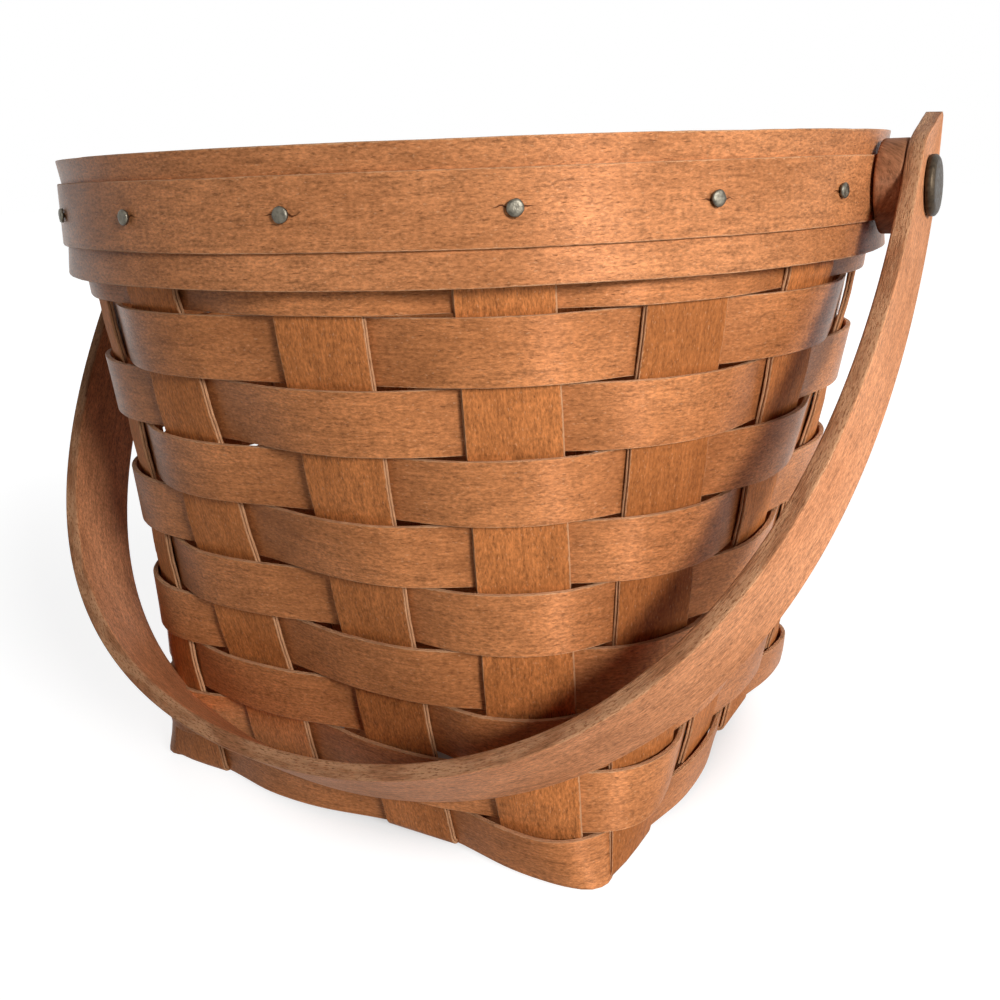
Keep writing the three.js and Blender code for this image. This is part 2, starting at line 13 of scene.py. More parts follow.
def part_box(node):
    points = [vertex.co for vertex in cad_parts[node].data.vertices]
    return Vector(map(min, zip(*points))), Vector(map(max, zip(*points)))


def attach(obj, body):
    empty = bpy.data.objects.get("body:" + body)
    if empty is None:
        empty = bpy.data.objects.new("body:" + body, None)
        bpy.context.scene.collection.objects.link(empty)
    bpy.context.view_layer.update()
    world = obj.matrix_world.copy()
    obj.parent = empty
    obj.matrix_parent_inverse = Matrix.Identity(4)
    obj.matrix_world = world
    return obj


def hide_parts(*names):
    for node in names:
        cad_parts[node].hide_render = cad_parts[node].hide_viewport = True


bl_info = {
    "name": "Swing Handle Basket",
    "version": (1, 0, 0),
    "blender": (4, 5, 0),
    "location": "View3D > Sidebar > Basket",
    "description": "Woven splint basket with nailed rim bands and a swinging handle",
    "category": "Object",
}

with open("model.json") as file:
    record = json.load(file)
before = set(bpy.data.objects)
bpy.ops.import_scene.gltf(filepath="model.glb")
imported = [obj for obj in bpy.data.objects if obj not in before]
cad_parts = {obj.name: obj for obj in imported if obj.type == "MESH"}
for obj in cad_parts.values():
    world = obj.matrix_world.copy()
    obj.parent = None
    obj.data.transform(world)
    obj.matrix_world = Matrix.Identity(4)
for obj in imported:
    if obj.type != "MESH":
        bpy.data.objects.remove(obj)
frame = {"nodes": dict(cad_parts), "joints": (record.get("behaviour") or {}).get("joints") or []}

MM = 0.001
UPRIGHTS = 16
PER_SIDE = 4
ROWS = 10
TACK_COUNT = 16

# Points of a mesh that are closer than this are one point
MERGE_DISTANCE = 1e-6

# Width of the worn line beside an arris, and the groove between the two plies of a stake
WORN_REACH = 0.8 * MM
GROOVE_WIDTH = 0.1 * MM
GROOVE_DEPTH = 0.35 * MM

# How far a weaver presses an upright in, or lets it stand out
PRESS = 0.28 * MM

# Place in a splint's ring of a point near the middle of its outer face
MIDDLE_POINT = 2

# Where each splint's grain starts, so that no two show the same stretch of it
STAKE_GRAIN_STEP = 0.61
WEAVER_GRAIN_START = 1.7
WEAVER_GRAIN_STEP = 0.93
HANDLE_GRAIN_START = 3.7

# The stake that took far more stain than the rest, and how many top weaver rows are drawn a little
# darker
DARKEST_STAKE = "stake_left_right_1"
DARKER_ROWS = 4

# Azimuth in degrees of each rim band's lap, and where its grain starts
BANDS = {"rim_wide_band": (100, 0.3), "rim_outer_band": (195, 2.1), "rim_inner_band": (40, 5.3)}

# Tack from its point to the middle of its head, in millimetres: inward from its face, and radius
TACK_SHAPE = (
    (8.5, 0.0), (7.0, 0.6), (1.0, 0.6), (0.95, 1.68), (0.45, 1.78),
    (0.2, 1.6), (0.07, 1.1), (0.05, 0.5), (0.05, 0.0),
)
DENT_DEPTH = 0.27 * MM

# Makes the greatest value of fall ** 2 * (1 - fall) one
WAIST_PEAK = 27 / 4

# Rings of an ear as shares of its length, and the share at which its blunt tip starts
EAR_RINGS = (1.0, 0.985, 0.96, 0.92, 0.86, 0.78, 0.68, 0.57, 0.45, 0.32, 0.2, 0.09)
EAR_BLUNT = 0.82

# Pivots: the gap between spacer and handle, the rivets' shanks and the bores that they pass
HANDLE_GAP = 0.3 * MM
SHANK_RADIUS = 2.5 * MM
BORE_RADIUS = 2.8 * MM

# Lamps: azimuth and elevation in degrees, distance and size in metres, power in watts
LAMPS = {
    "key_lamp": (-31, 19, 1.2, 0.28, 14),
    "side_lamp": (0, 10, 1.2, 0.5, 3),
    "back_lamp": (125, 40, 1.8, 1.4, 7),
}
LAMP_AIM = Vector((0, 0, 0.09))


def low_corner(node):
    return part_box(node)[0]


def high_corner(node):
    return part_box(node)[1]


def length_property(name, description, default):
    return FloatProperty(
        name=name, description=description, default=default, unit="LENGTH", precision=5
    )


def number_property(name, description, default):
    return FloatProperty(name=name, description=description, default=default)


def angle_property(name, description, default):
    return FloatProperty(name=name, description=description, default=default, subtype="ANGLE")


def colour_property(name, description, default):
    return FloatVectorProperty(
        name=name, description=description, default=default, size=3, min=0.0, max=1.0,
        subtype="COLOR",
    )


def cad_handle_angle():
    """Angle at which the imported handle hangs, from its middle and its pivots."""
    middle_reach = 6 * MM
    points = [v.co for v in frame["nodes"]["swing_handle"].data.vertices]
    middle = [p for p in points if abs(p.x) < middle_reach]
    grip = sum(middle, Vector()) / len(middle)
    pivot = Vector(frame["joints"][0]["pos_m"])
    return math.atan2(pivot.y - grip.y, pivot.z - grip.z)


class BASKET_PG_wall(bpy.types.PropertyGroup):
    """Sizes of the wall, which turns from a square at the base into a circle at the rim."""

    base_half: length_property("Base half width", "Half the width of the square base", 72.0 * MM)
    top_radius: length_property("Top radius", "Radius of the stakes under the rim", 106.68 * MM)
    shoulder: length_property("Shoulder height", "Height where the wall turns round", 142.5 * MM)
    corner_power: number_property("Corner power", "How fast the corners open into the circle", 0.71)
    bow: number_property("Side bow", "How far the sides bow out between base and rim", -0.07)
    spread_power: number_property("Spread power", "How fast the stakes spread upwards", 1.76)
    slip_x: length_property("Corner slip X", "Slip of the front left base corner sideways", 5 * MM)
    slip_y: length_property("Corner slip Y", "Slip of that corner towards the back", -3.5 * MM)
    base_sag: length_property("Base sag", "Slide of the lowest weaver's lower edge", 1.3 * MM)


class BASKET_PG_splints(bpy.types.PropertyGroup):
    """Sizes of the stakes and weavers."""

    stake_width: length_property("Stake width", "Width of an upright splint", 21.2 * MM)
    weaver_width: length_property("Weaver width", "Width of a weaver", 15.2 * MM)
    thickness: length_property("Thickness", "Thickness of the splints", 1.3 * MM)
    clearance: length_property("Clearance", "Gap between crossing splints", 0.3 * MM)
    bulge: length_property("Bulge", "How far a weaver arches over a stake", 0.6 * MM)
    middle_gap: length_property("Middle gap", "Gap between the middle stakes of a side", 20 * MM)
    side_gap: length_property("Side gap", "Gap between the other stakes of a side", 16 * MM)
    inner_angle: angle_property("Inner angle", "Inner stakes' angle at the rim", math.radians(12.9))
    outer_angle: angle_property("Outer angle", "Outer stakes' angle at the rim", math.radians(34.1))
    bend_radius: length_property("Bend radius", "Radius of the bend at the base", 2.2 * MM)
    edge: length_property("Arris", "Rounding of the splints' arrises", 0.2 * MM)
    ply_inset: length_property("Ply inset", "Setback of the stakes' outer ply", 0.35 * MM)


class BASKET_PG_handle(bpy.types.PropertyGroup):
    """Sizes of the bent handle."""

    drop: length_property("Drop", "Distance from the pivots to the grip", 163.7 * MM)
    thickness: length_property("Thickness", "Thickness of the bent strip", 3.8 * MM)
    pivot_width: length_property("Width at pivots", "Width of the strip at its pivots", 23 * MM)
    grip_width: length_property("Width at grip", "Width of the strip at the grip", 24.5 * MM)
    span_power: number_property("Span power", "Fullness of the bow across", 1.996)
    drop_power: number_property("Drop power", "Fullness of the bow downwards", 3.19)
    waist: number_property("Waist", "How far the bow draws in at its lower corners", 0.033)
    twist: angle_property("Twist", "Turn of the strip at the grip", math.radians(4.2))
    ear: length_property("Ear length", "Length of the pointed ear above a pivot", 20.5 * MM)
    ear_tip: length_property("Ear tip", "Width of the ear's blunt tip", 5 * MM)
    ear_lean: angle_property("Ear lean", "Outward lean of the ears", math.radians(3))
    hang: angle_property("Hang", "Angle at which the handle hangs", cad_handle_angle())


class BASKET_PG_colours(bpy.types.PropertyGroup):
    """Colours of the stained wood and of the metal."""

    stain: colour_property("Stain", "Main colour of the weavers", (0.52, 0.20, 0.072))
    # Also the painted shade where a weaver dives behind a stake
    dark_stain_and_shade: colour_property("Dark stain", "Stain gathered in the grain", (0.22, 0.068, 0.018))
    stake_stain: colour_property("Stake stain", "Main colour of the stakes", (0.50, 0.175, 0.052))
    band_stain: colour_property("Band stain", "Main colour of the rim bands", (0.50, 0.20, 0.078))
    handle_stain: colour_property("Handle stain", "Main colour of the handle", (0.60, 0.255, 0.115))
    handle_edge: colour_property("Handle edge", "Edge faces of the handle", (0.45, 0.185, 0.082))
    spacer_stain: colour_property("Spacer stain", "Colour of the spacers", (0.33, 0.145, 0.072))
    bare: colour_property("Bare wood", "Pale wood on worn arrises", (0.66, 0.36, 0.19))
    # Also the painted shade at the bottom of the groove between a stake's plies
    pore: colour_property("Pores", "Colour of the dark pore dashes", (0.10, 0.030, 0.010))
    steel: colour_property("Tack steel", "Colour of the tack heads", (0.15, 0.135, 0.105))
    bronze: colour_property("Rivet bronze", "Colour of the rivet heads", (0.06, 0.043, 0.027))
    floor: colour_property("Floor", "Colour of the floor", (0.38, 0.38, 0.38))


class BASKET_PG_view(bpy.types.PropertyGroup):
    """Place of the camera."""

    distance: length_property("Distance", "Distance of the camera from the basket's axis", 0.32154)
    azimuth: angle_property("Azimuth", "Direction of the camera from the front", 0.5453)
    height: length_property("Height", "Height of the camera", 0.16661)
    yaw: angle_property("Yaw", "Turn of the camera to the left", 0.5491)
    pitch: angle_property("Pitch", "Tilt of the camera", -0.1993)
    roll: angle_property("Roll", "Roll of the camera", -0.0363)
    lens: number_property("Lens", "Focal length on a 36 mm frame", 38.896)
    shift_x: number_property("Shift X", "Sideways shift of the frame", 0.02288)
    shift_y: number_property("Shift Y", "Upward shift of the frame", -0.11069)


PROPERTY_GROUPS = {
    "basket_wall": BASKET_PG_wall,
    "basket_splints": BASKET_PG_splints,
    "basket_handle": BASKET_PG_handle,
    "basket_colours": BASKET_PG_colours,
    "basket_view": BASKET_PG_view,
}


def mix(a, b, t):
    return a + (b - a) * t


def smooth(t):
    t = min(max(t, 0.0), 1.0)
    return t * t * (3 - 2 * t)


def wobble(*place):
    """Even noise from -1 to 1 at a place."""
    return noise.noise(Vector(place + (0.0,) * (3 - len(place))))


class Wall:
    """The wall's middle surface and the stakes' places on it."""

    def __init__(self, scene):
        self.sizes = scene.basket_wall
        splints = scene.basket_splints
        inner = (splints.middle_gap + splints.stake_width) / 2
        outer = inner + splints.stake_width + splints.side_gap
        self.places = [-outer, -inner, inner, outer]
        self.angles = [
            -splints.outer_angle, -splints.inner_angle, splints.inner_angle, splints.outer_angle
        ]
        self.half_stake = splints.stake_width / 2
        self.top = high_corner("stake_front_back_2").z
        uppers = [high_corner(weaver_node(row)).z for row in range(ROWS)]
        lowers = [low_corner(weaver_node(row)).z for row in range(ROWS)]
        lowers[-1] -= self.sizes.base_sag
        self.rows = list(zip(lowers, uppers))

    def section(self, z):
        """Share of the height to the shoulder, corner radius, half flat side and perimeter."""
        v = min(max(z / self.sizes.shoulder, 0.0), 1.0)
        half = mix(self.sizes.base_half, self.sizes.top_radius, v + self.sizes.bow * v * (1 - v))
        corner = min(half, self.sizes.top_radius * v**self.sizes.corner_power)
        flat = half - corner
        return v, corner, flat, 8 * flat + math.tau * corner

    def settled(self, spot):
        """A point after the handmade base has slipped a little out of square at one corner."""
        width = 2 * self.sizes.base_half
        fade = max(1 - spot.z / self.sizes.shoulder, 0.0) ** 1.5
        for place in (spot.x, spot.y):
            fade *= min(max(0.5 - place / width, 0.0), 1.0)
        return spot + Vector((self.sizes.slip_x, self.sizes.slip_y, 0.0)) * fade

    def arc(self, upright, z):
        """Distance round the wall, from the middle of the front, of an upright's middle."""
        v, _, _, perimeter = self.section(z)
        place = upright % PER_SIDE
        base_share = self.places[place] / (8 * self.sizes.base_half)
        top_share = self.angles[place] / math.tau
        share = mix(base_share, top_share, v ** self.sizes.spread_power)
        return ((upright // PER_SIDE) / PER_SIDE + share) * perimeter

    def point(self, arc, z):
        """Point and outward normal at a distance round the wall and a height."""
        _, corner, flat, perimeter = self.section(z)
        side = round(arc / (perimeter / PER_SIDE))
        along = arc - side * perimeter / PER_SIDE
        past = max(abs(along) - flat, 0.0)
        turn = math.copysign(past / corner, along) if corner else 0.0
        reach = math.copysign(min(abs(along), flat), along)
        spot = Vector((flat + corner * math.cos(turn), reach + corner * math.sin(turn), z))
        normal = Vector((math.cos(turn), math.sin(turn), 0.0))
        rotation = Matrix.Rotation((side - 1) * math.pi / 2, 3, "Z")
        return rotation @ spot, rotation @ normal


def weaver_node(row):
    return f"weaver_{row + 1:02d}"


def tack_node(number):
    return f"tack_{number + 1:02d}"


# Sweeps: a closed profile drawn along a line of stations by extrusion

class Profile:
    """Closed section of a strip: its points as across and out, their wear marks and the distances
    round it. A mark is 0 on the wide faces, 1 on the arrises and 2 at the bottom of a groove."""

    def __init__(self, half_width, half_thick, edge, columns, ply_inset=None):
        soft = edge * 0.3
        front_half = half_width - (ply_inset or 0.0)
        front = self.face(front_half, half_thick, edge, columns)
        inner = self.face(half_width, half_thick, edge, columns)
        back = [(-across, -out, mark) for across, out, mark in inner]
        side = [(front_half - soft, half_thick - soft, 1.0), (front_half, half_thick - edge, 1.0)]
        if ply_inset is not None:
            side += [
                (front_half, GROOVE_WIDTH, 1.0), (front_half - GROOVE_DEPTH, 0.0, 2.0),
                (half_width - edge, -GROOVE_WIDTH * 0.4, 1.15),
                (half_width, -GROOVE_WIDTH - edge * 0.5, 1.0),
            ]
        side += [(half_width, edge - half_thick, 1.0), (half_width - soft, soft - half_thick, 1.0)]
        far_side = [(-across, out, mark) for across, out, mark in reversed(side)]
        ring = front + side + back + far_side
        self.columns = len(front)
        self.points = [(across, out) for across, out, mark in ring]
        self.marks = [mark for across, out, mark in ring]
        lengths = [0.0]
        for here, there in zip(self.points, self.points[1:] + self.points[:1]):
            lengths.append(lengths[-1] + math.dist(here, there))
        middle = lengths[self.columns - 1] / 2
        self.lengths = [length - middle for length in lengths]

    @staticmethod
    def face(half, out, edge, columns):
        """Points across one wide face, with the worn line beside both arrises."""
        worn = half - WORN_REACH
        near = half - edge
        middle = [(mix(-worn, worn, c / (columns - 1)), out, 0.0) for c in range(columns)]
        return [(-near, out, 0.8)] + middle + [(near, out, 0.8)]

    def flipped(self, ring):
        """A ring with left and right changed over."""
        half = len(ring) // 2
        columns = self.columns
        front, side = ring[:columns], ring[columns:half]
        back, far_side = ring[half:half + columns], ring[half + columns:]
        return [point for part in (front, far_side, back, side) for point in reversed(part)]


def sweep(name, stations, profile, along, closed=False, tuck_shade=None, depth=0.0):
    """Mesh extruded from the first station through the others. A station is a ring of points.
    The grain is drawn by the distances along and round the strip."""
    bm = bmesh.new()
    grain = bm.loops.layers.uv.new("grain")
    # Painted shade: how far a weaver is tucked behind a stake, which darkens it there
    shade = bm.verts.layers.float.new("tuck_shade")
    arris = bm.verts.layers.float.new("arris")
    extra_darkness = bm.verts.layers.float.new("extra_darkness")
    ring = [bm.verts.new(p) for p in stations[0]]
    places = {v: (0, n) for n, v in enumerate(ring)}
    edges = [bm.edges.new(pair) for pair in zip(ring, ring[1:] + ring[:1])]
    first_edges = list(edges)
    for number, station in enumerate(stations[1:], 1):
        made = bmesh.ops.extrude_edge_only(bm, edges=edges)["geom"]
        fresh = {v for v in made if isinstance(v, bmesh.types.BMVert)}
        following = []
        for old in ring:
            new = next(e.other_vert(old) for e in old.link_edges if e.other_vert(old) in fresh)
            following.append(new)
        for n, vert in enumerate(following):
            vert.co = station[n]
            places[vert] = (number, n)
        ring = following
        fresh_edges = (e for e in made if isinstance(e, bmesh.types.BMEdge))
        edges = [e for e in fresh_edges if all(v in fresh for v in e.verts)]
    if not closed:
        for cap_edges in (first_edges, edges):
            bmesh.ops.contextual_create(bm, geom=cap_edges)
    size = len(stations[0])
    for vert, (number, n) in places.items():
        vert[shade] = tuck_shade[number] if tuck_shade else 0.0
        vert[arris] = profile.marks[n]
        vert[extra_darkness] = depth
    for face in bm.faces:
        spots = [places[loop.vert] for loop in face.loops]
        wraps = {n for _, n in spots} == {0, size - 1}
        for loop, (number, n) in zip(face.loops, spots):
            across = profile.lengths[size if wraps and n == 0 else n]
            loop[grain].uv = (along[number], across)
    if closed:
        bmesh.ops.remove_doubles(bm, verts=bm.verts, dist=MERGE_DISTANCE)
    bmesh.ops.recalc_face_normals(bm, faces=bm.faces)
    return finished_object(name, bm)


def finished_object(name, bm):
    for face in bm.faces:
        face.smooth = True
    mesh = bpy.data.meshes.new(name)
    bm.to_mesh(mesh)
    bm.free()
    piece = bpy.data.objects.new(name, mesh)
    bpy.context.scene.collection.objects.link(piece)
    return piece


def weigh_normals(piece):
    """Lets the wide faces keep flat shading up to their rounded arrises."""
    weight = piece.modifiers.new("flat_faces", "WEIGHTED_NORMAL")
    weight.mode = "FACE_AREA"
    weight.keep_sharp = False


def seat(piece, body, node, material):
    """Puts a finished piece in its node's place."""
    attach(piece, body)
    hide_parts(node)
    piece.data.materials.append(material)


def path_lengths(points, start):
    """Distance along a line at each of its points."""
    lengths = [start]
    for here, there in zip(points, points[1:]):
        lengths.append(lengths[-1] + (there - here).length)
    return lengths


# Node materials

class Nodes:
    """Short way of writing a node tree."""

    def __init__(self, tree):
        self.tree = tree

    def add(self, kind, values=None, **settings):
        node = self.tree.nodes.new(kind)
        for key, value in settings.items():
            setattr(node, key, value)
        self.put(node, values or {})
        return node

    def put(self, node, values):
        for key, value in values.items():
            self.feed(node.inputs[key], value)

    def feed(self, socket, value):
        if isinstance(value, bpy.types.NodeSocket):
            self.tree.links.new(value, socket)
        elif isinstance(value, bpy.types.Node):
            self.tree.links.new(value.outputs[0], socket)
        else:
            socket.default_value = value

    def math(self, operation, a, b=0.0, clamp=False):
        node = self.add("ShaderNodeMath", {0: a, 1: b}, operation=operation, use_clamp=clamp)
        return node.outputs[0]

    def weighted(self, *parts):
        """Sum of values, each times its weight."""
        total = 0.0
        for value, weight in parts:
            values = {0: value, 1: weight, 2: total}
            total = self.add("ShaderNodeMath", values, operation="MULTIPLY_ADD").outputs[0]
        return total

    def noise(self, vector, scale, detail, roughness):
        values = {"Vector": vector, "Scale": scale, "Detail": detail, "Roughness": roughness}
        return self.add("ShaderNodeTexNoise", values).outputs["Fac"]

    def grain_noise(self, vector, along, across, detail, roughness):
        """Noise with its own scale along the grain and across it."""
        values = {0: vector, 1: (along, across, 1)}
        drawn = self.add("ShaderNodeVectorMath", values, operation="MULTIPLY").outputs[0]
        return self.noise(drawn, 1.0, detail, roughness)

    def span(self, value, low, high, to_low=0.0, to_high=1.0, soft=False):
        """A value between two limits, brought to between two others."""
        values = {0: value, 1: low, 2: high, 3: to_low, 4: to_high}
        kind = "SMOOTHSTEP" if soft else "LINEAR"
        return self.add("ShaderNodeMapRange", values, interpolation_type=kind).outputs["Result"]

    def blend(self, factor, a, b):
        """Two colours mixed. Sockets 6, 7 and 2 are the Mix node's colour ones."""
        return self.add("ShaderNodeMix", {0: factor, 6: a, 7: b}, data_type="RGBA").outputs[2]

    def tinted(self, tone, mask, strength, colour):
        """A colour with another laid over it where a mask is strong."""
        return self.blend(self.math("MULTIPLY", mask, strength), tone, rgba(colour))

    def background_rays(self):
        """One for the rays that see the background: straight on, in a gloss or through glass."""
        path = self.add("ShaderNodeLightPath").outputs
        seen = self.math("ADD", path["Is Camera Ray"], path["Is Glossy Ray"])
        return self.math("ADD", seen, path["Is Transmission Ray"], clamp=True)


def new_group(name, inputs, outputs):
    """Empty node group with named inputs, and outputs that are all single values."""
    tree = bpy.data.node_groups.new(name, "ShaderNodeTree")
    for label, kind in inputs.items():
        tree.interface.new_socket(label, in_out="INPUT", socket_type=kind)
    for label in outputs:
        tree.interface.new_socket(label, in_out="OUTPUT", socket_type="NodeSocketFloat")
    nodes = Nodes(tree)
    return nodes, nodes.add("NodeGroupInput").outputs, nodes.add("NodeGroupOutput")


def new_material(name):
    """Material with an empty node tree."""
    material = bpy.data.materials.new(name)
    material.use_nodes = True
    material.node_tree.nodes.clear()
    return material, Nodes(material.node_tree)


def wood_grain_group():
    """Fibres, streaks, cloudy stain, pore dashes and pale flecks that run along the strip."""
    name = "wood_grain"
    if name in bpy.data.node_groups:
        return bpy.data.node_groups[name]
    nodes, given, outside = new_group(
        name, {"Vector": "NodeSocketVector"}, ("Tone", "Pores", "Cloud", "Flecks", "Height")
    )
    vector = given["Vector"]
    values = {0: vector, 1: (3.3, 1.7, 0)}
    elsewhere = nodes.add("ShaderNodeVectorMath", values, operation="ADD").outputs[0]
    fibres = nodes.grain_noise(vector, 760, 1750, 3.0, 0.7)
    streaks = nodes.grain_noise(vector, 90, 760, 3.0, 0.6)
    blotches = nodes.grain_noise(vector, 190, 330, 3.0, 0.6)
    cloud = nodes.grain_noise(vector, 26, 50, 3.0, 0.55)
    dashes = nodes.grain_noise(vector, 520, 2500, 1.0, 0.5)
    sparks = nodes.grain_noise(elsewhere, 900, 1900, 1.0, 0.5)
    tone = nodes.weighted((fibres, 0.55), (streaks, 0.25), (blotches, 0.2))
    pores = nodes.span(dashes, 0.64, 0.74, soft=True)
    nodes.put(outside, {
        "Tone": nodes.span(tone, 0.38, 0.62),
        "Pores": pores,
        "Cloud": nodes.span(cloud, 0.32, 0.68),
        "Flecks": nodes.span(sparks, 0.64, 0.76, soft=True),
        "Height": nodes.weighted((fibres, 0.8), (pores, -0.5)),
    })
    return nodes.tree


def worn_edge_group():
    """Masks of the narrow edge faces, the rubbed line beside them, and the painted shade at the
    bottom of the groove between plies.
    """
    name = "worn_edge"
    if name in bpy.data.node_groups:
        return bpy.data.node_groups[name]
    nodes, given, outside = new_group(
        name, {"Vector": "NodeSocketVector", "Arris": "NodeSocketFloat"},
        ("Edge", "Rubbed", "GrooveShade", "Fibre"),
    )
    vector = given["Vector"]
    arris = given["Arris"]
    ragged = nodes.grain_noise(vector, 700, 2600, 3.0, 0.65)
    patches = nodes.grain_noise(vector, 70, 300, 2.0, 0.5)
    fibre = nodes.grain_noise(vector, 380, 4200, 4.0, 0.7)
    wear = nodes.math("ADD", arris, nodes.span(ragged, 0.3, 0.7, -0.5, 0.32))
    rubbed = nodes.span(wear, 0.62, 0.95, soft=True)
    left = nodes.span(patches, 0.36, 0.6, 0.1, 1.0, soft=True)
    nodes.put(outside, {
        "Edge": nodes.span(arris, 0.86, 0.98, soft=True),
        "Rubbed": nodes.math("MULTIPLY", rubbed, left),
        "GrooveShade": nodes.span(arris, 1.1, 1.6, soft=True),
        "Fibre": nodes.span(fibre, 0.34, 0.66),
    })
    return nodes.tree


def tack_splits_group():
    """Short dark splits in the outer band on both sides of every tack."""
    name = "tack_splits"
    if name in bpy.data.node_groups:
        return bpy.data.node_groups[name]
    nodes, given, outside = new_group(name, {"Vector": "NodeSocketVector"}, ("Split",))
    place = nodes.add("ShaderNodeSeparateXYZ", {0: given["Vector"]}).outputs
    turn = nodes.math("ARCTAN2", place["Y"], place["X"])
    nearest = 1.0
    for number in range(TACK_COUNT):
        azimuth, _, _ = tack_place(number)
        away = nodes.math("ABSOLUTE", nodes.math("SUBTRACT", turn, azimuth))
        nearest = nodes.math("MINIMUM", away, nearest)
    _, outer, height = tack_place(0)
    away = nodes.math("MULTIPLY", nearest, outer)
    reach = nodes.span(away, 1.7 * MM, 4.6 * MM, 0.2 * MM, -0.06 * MM)
    waver = nodes.noise(given["Vector"], 420.0, 1.0, 0.5)
    level = nodes.math("ADD", nodes.span(waver, 0.3, 0.7, -0.5 * MM, 0.5 * MM), height)
    above = nodes.math("ABSOLUTE", nodes.math("SUBTRACT", place["Z"], level))
    split = nodes.span(nodes.math("SUBTRACT", above, reach), 0.0, 0.1 * MM, 1.0, 0.0)
    nodes.put(outside, {"Split": split})
    return nodes.tree


def tack_place(number):
    """Azimuth, outer radius and height of a packed tack."""
    name = tack_node(number)
    low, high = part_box(name)
    vertices = [v.co for v in frame["nodes"][name].data.vertices]
    tip = min(vertices, key=lambda p: math.hypot(p.x, p.y))
    outer = max(math.hypot(p.x, p.y) for p in vertices)
    return math.atan2(tip.y, tip.x), outer, (low.z + high.z) / 2


def rgba(colour, gain=1.0):
    return tuple(min(c * gain, 1.0) for c in colour) + (1.0,)


def wood_material(name, scene, stain, gloss, torn=0.8, torn_colour=None, tacked=False):
    """Stained wood on a strip: grain along it, rubbed arrises and torn edge faces."""
    colours = scene.basket_colours
    material, nodes = new_material(name)
    grain_map = nodes.add("ShaderNodeUVMap", uv_map="grain").outputs[0]
    arris, tuck_shade, depth = (
        nodes.add("ShaderNodeAttribute", attribute_name=mark).outputs["Fac"]
        for mark in ("arris", "tuck_shade", "extra_darkness")
    )
    grain = nodes.add("ShaderNodeGroup", node_tree=wood_grain_group())
    wear = nodes.add("ShaderNodeGroup", node_tree=worn_edge_group())
    nodes.put(grain, {"Vector": grain_map})
    nodes.put(wear, {"Vector": grain_map, "Arris": arris})
    grain, wear = grain.outputs, wear.outputs
    tone = nodes.blend(grain["Tone"], rgba(stain, 0.5), rgba(stain, 1.5))
    tone = nodes.tinted(tone, grain["Cloud"], 0.34, colours.dark_stain_and_shade)
    # Painted shade: the weaver drawn darker where it dives behind a stake
    tone = nodes.tinted(tone, tuck_shade, 0.3, colours.dark_stain_and_shade)
    # Whole stakes that took more stain, and the top weaver rows drawn a little darker
    tone = nodes.tinted(tone, depth, 1.0, colours.dark_stain_and_shade)
    tone = nodes.tinted(tone, grain["Pores"], 0.5, colours.pore)
    tone = nodes.tinted(tone, grain["Flecks"], 0.4, colours.bare)
    pale = torn_colour or colours.bare
    fibres = nodes.blend(wear["Fibre"], rgba(pale, 0.3), rgba(pale, 1.2))
    tone = nodes.blend(nodes.math("MULTIPLY", wear["Edge"], torn), tone, fibres)
    tone = nodes.tinted(tone, wear["Rubbed"], 0.75, colours.bare)
    # Painted shade: the bottom of the groove between a stake's plies drawn in the pore colour
    tone = nodes.tinted(tone, wear["GrooveShade"], 1.0, colours.pore)
    if tacked:
        splits = nodes.add("ShaderNodeGroup", node_tree=tack_splits_group())
        nodes.put(splits, {"Vector": nodes.add("ShaderNodeTexCoord").outputs["Object"]})
        tone = nodes.tinted(tone, splits.outputs["Split"], 1.0, colours.pore)
    rough = nodes.span(grain["Cloud"], 0.0, 1.0, gloss - 0.05, gloss + 0.07)
    rough = nodes.math("ADD", rough, nodes.math("MULTIPLY", wear["Edge"], 0.25), clamp=True)
    torn_height = nodes.math("MULTIPLY", wear["Edge"], 2 * torn)
    torn_height = nodes.math("MULTIPLY", wear["Fibre"], torn_height)
    height = nodes.math("ADD", grain["Height"], torn_height)
    bump = nodes.add("ShaderNodeBump", {"Strength": 0.6, "Distance": 0.2 * MM, "Height": height})
    along = nodes.add("ShaderNodeTangent", direction_type="UV_MAP", uv_map="grain")
    # Wood fibres shine in the wood's own colour, drawn out across the grain
    shader = nodes.add("ShaderNodeBsdfPrincipled", {
        "Base Color": tone, "Roughness": rough, "Normal": bump, "Tangent": along, "Metallic": 0.16,
        "Specular IOR Level": 0.12, "Anisotropic": 0.9, "Anisotropic Rotation": 0.25,
    })
    nodes.add("ShaderNodeOutputMaterial", {"Surface": shader})
    return material


def metal_material(name, colour, rough, dents):
    """Dull metal with a patchy surface and small pits."""
    material, nodes = new_material(name)
    place = nodes.add("ShaderNodeTexCoord").outputs["Object"]
    stain = nodes.noise(place, 900.0, 4.0, 0.6)
    pits = nodes.noise(place, 1600.0, 2.0, 0.5)
    tone = nodes.blend(nodes.span(stain, 0.35, 0.65), rgba(colour, 0.55), rgba(colour, 1.25))
    roughness = nodes.span(stain, 0.3, 0.7, rough - 0.12, rough + 0.15)
    bump = nodes.add("ShaderNodeBump", {"Strength": 0.6, "Distance": dents, "Height": pits})
    shader = nodes.add("ShaderNodeBsdfPrincipled", {
        "Base Color": tone, "Metallic": 0.9, "Roughness": roughness, "Normal": bump,
    })
    nodes.add("ShaderNodeOutputMaterial", {"Surface": shader})
    return material


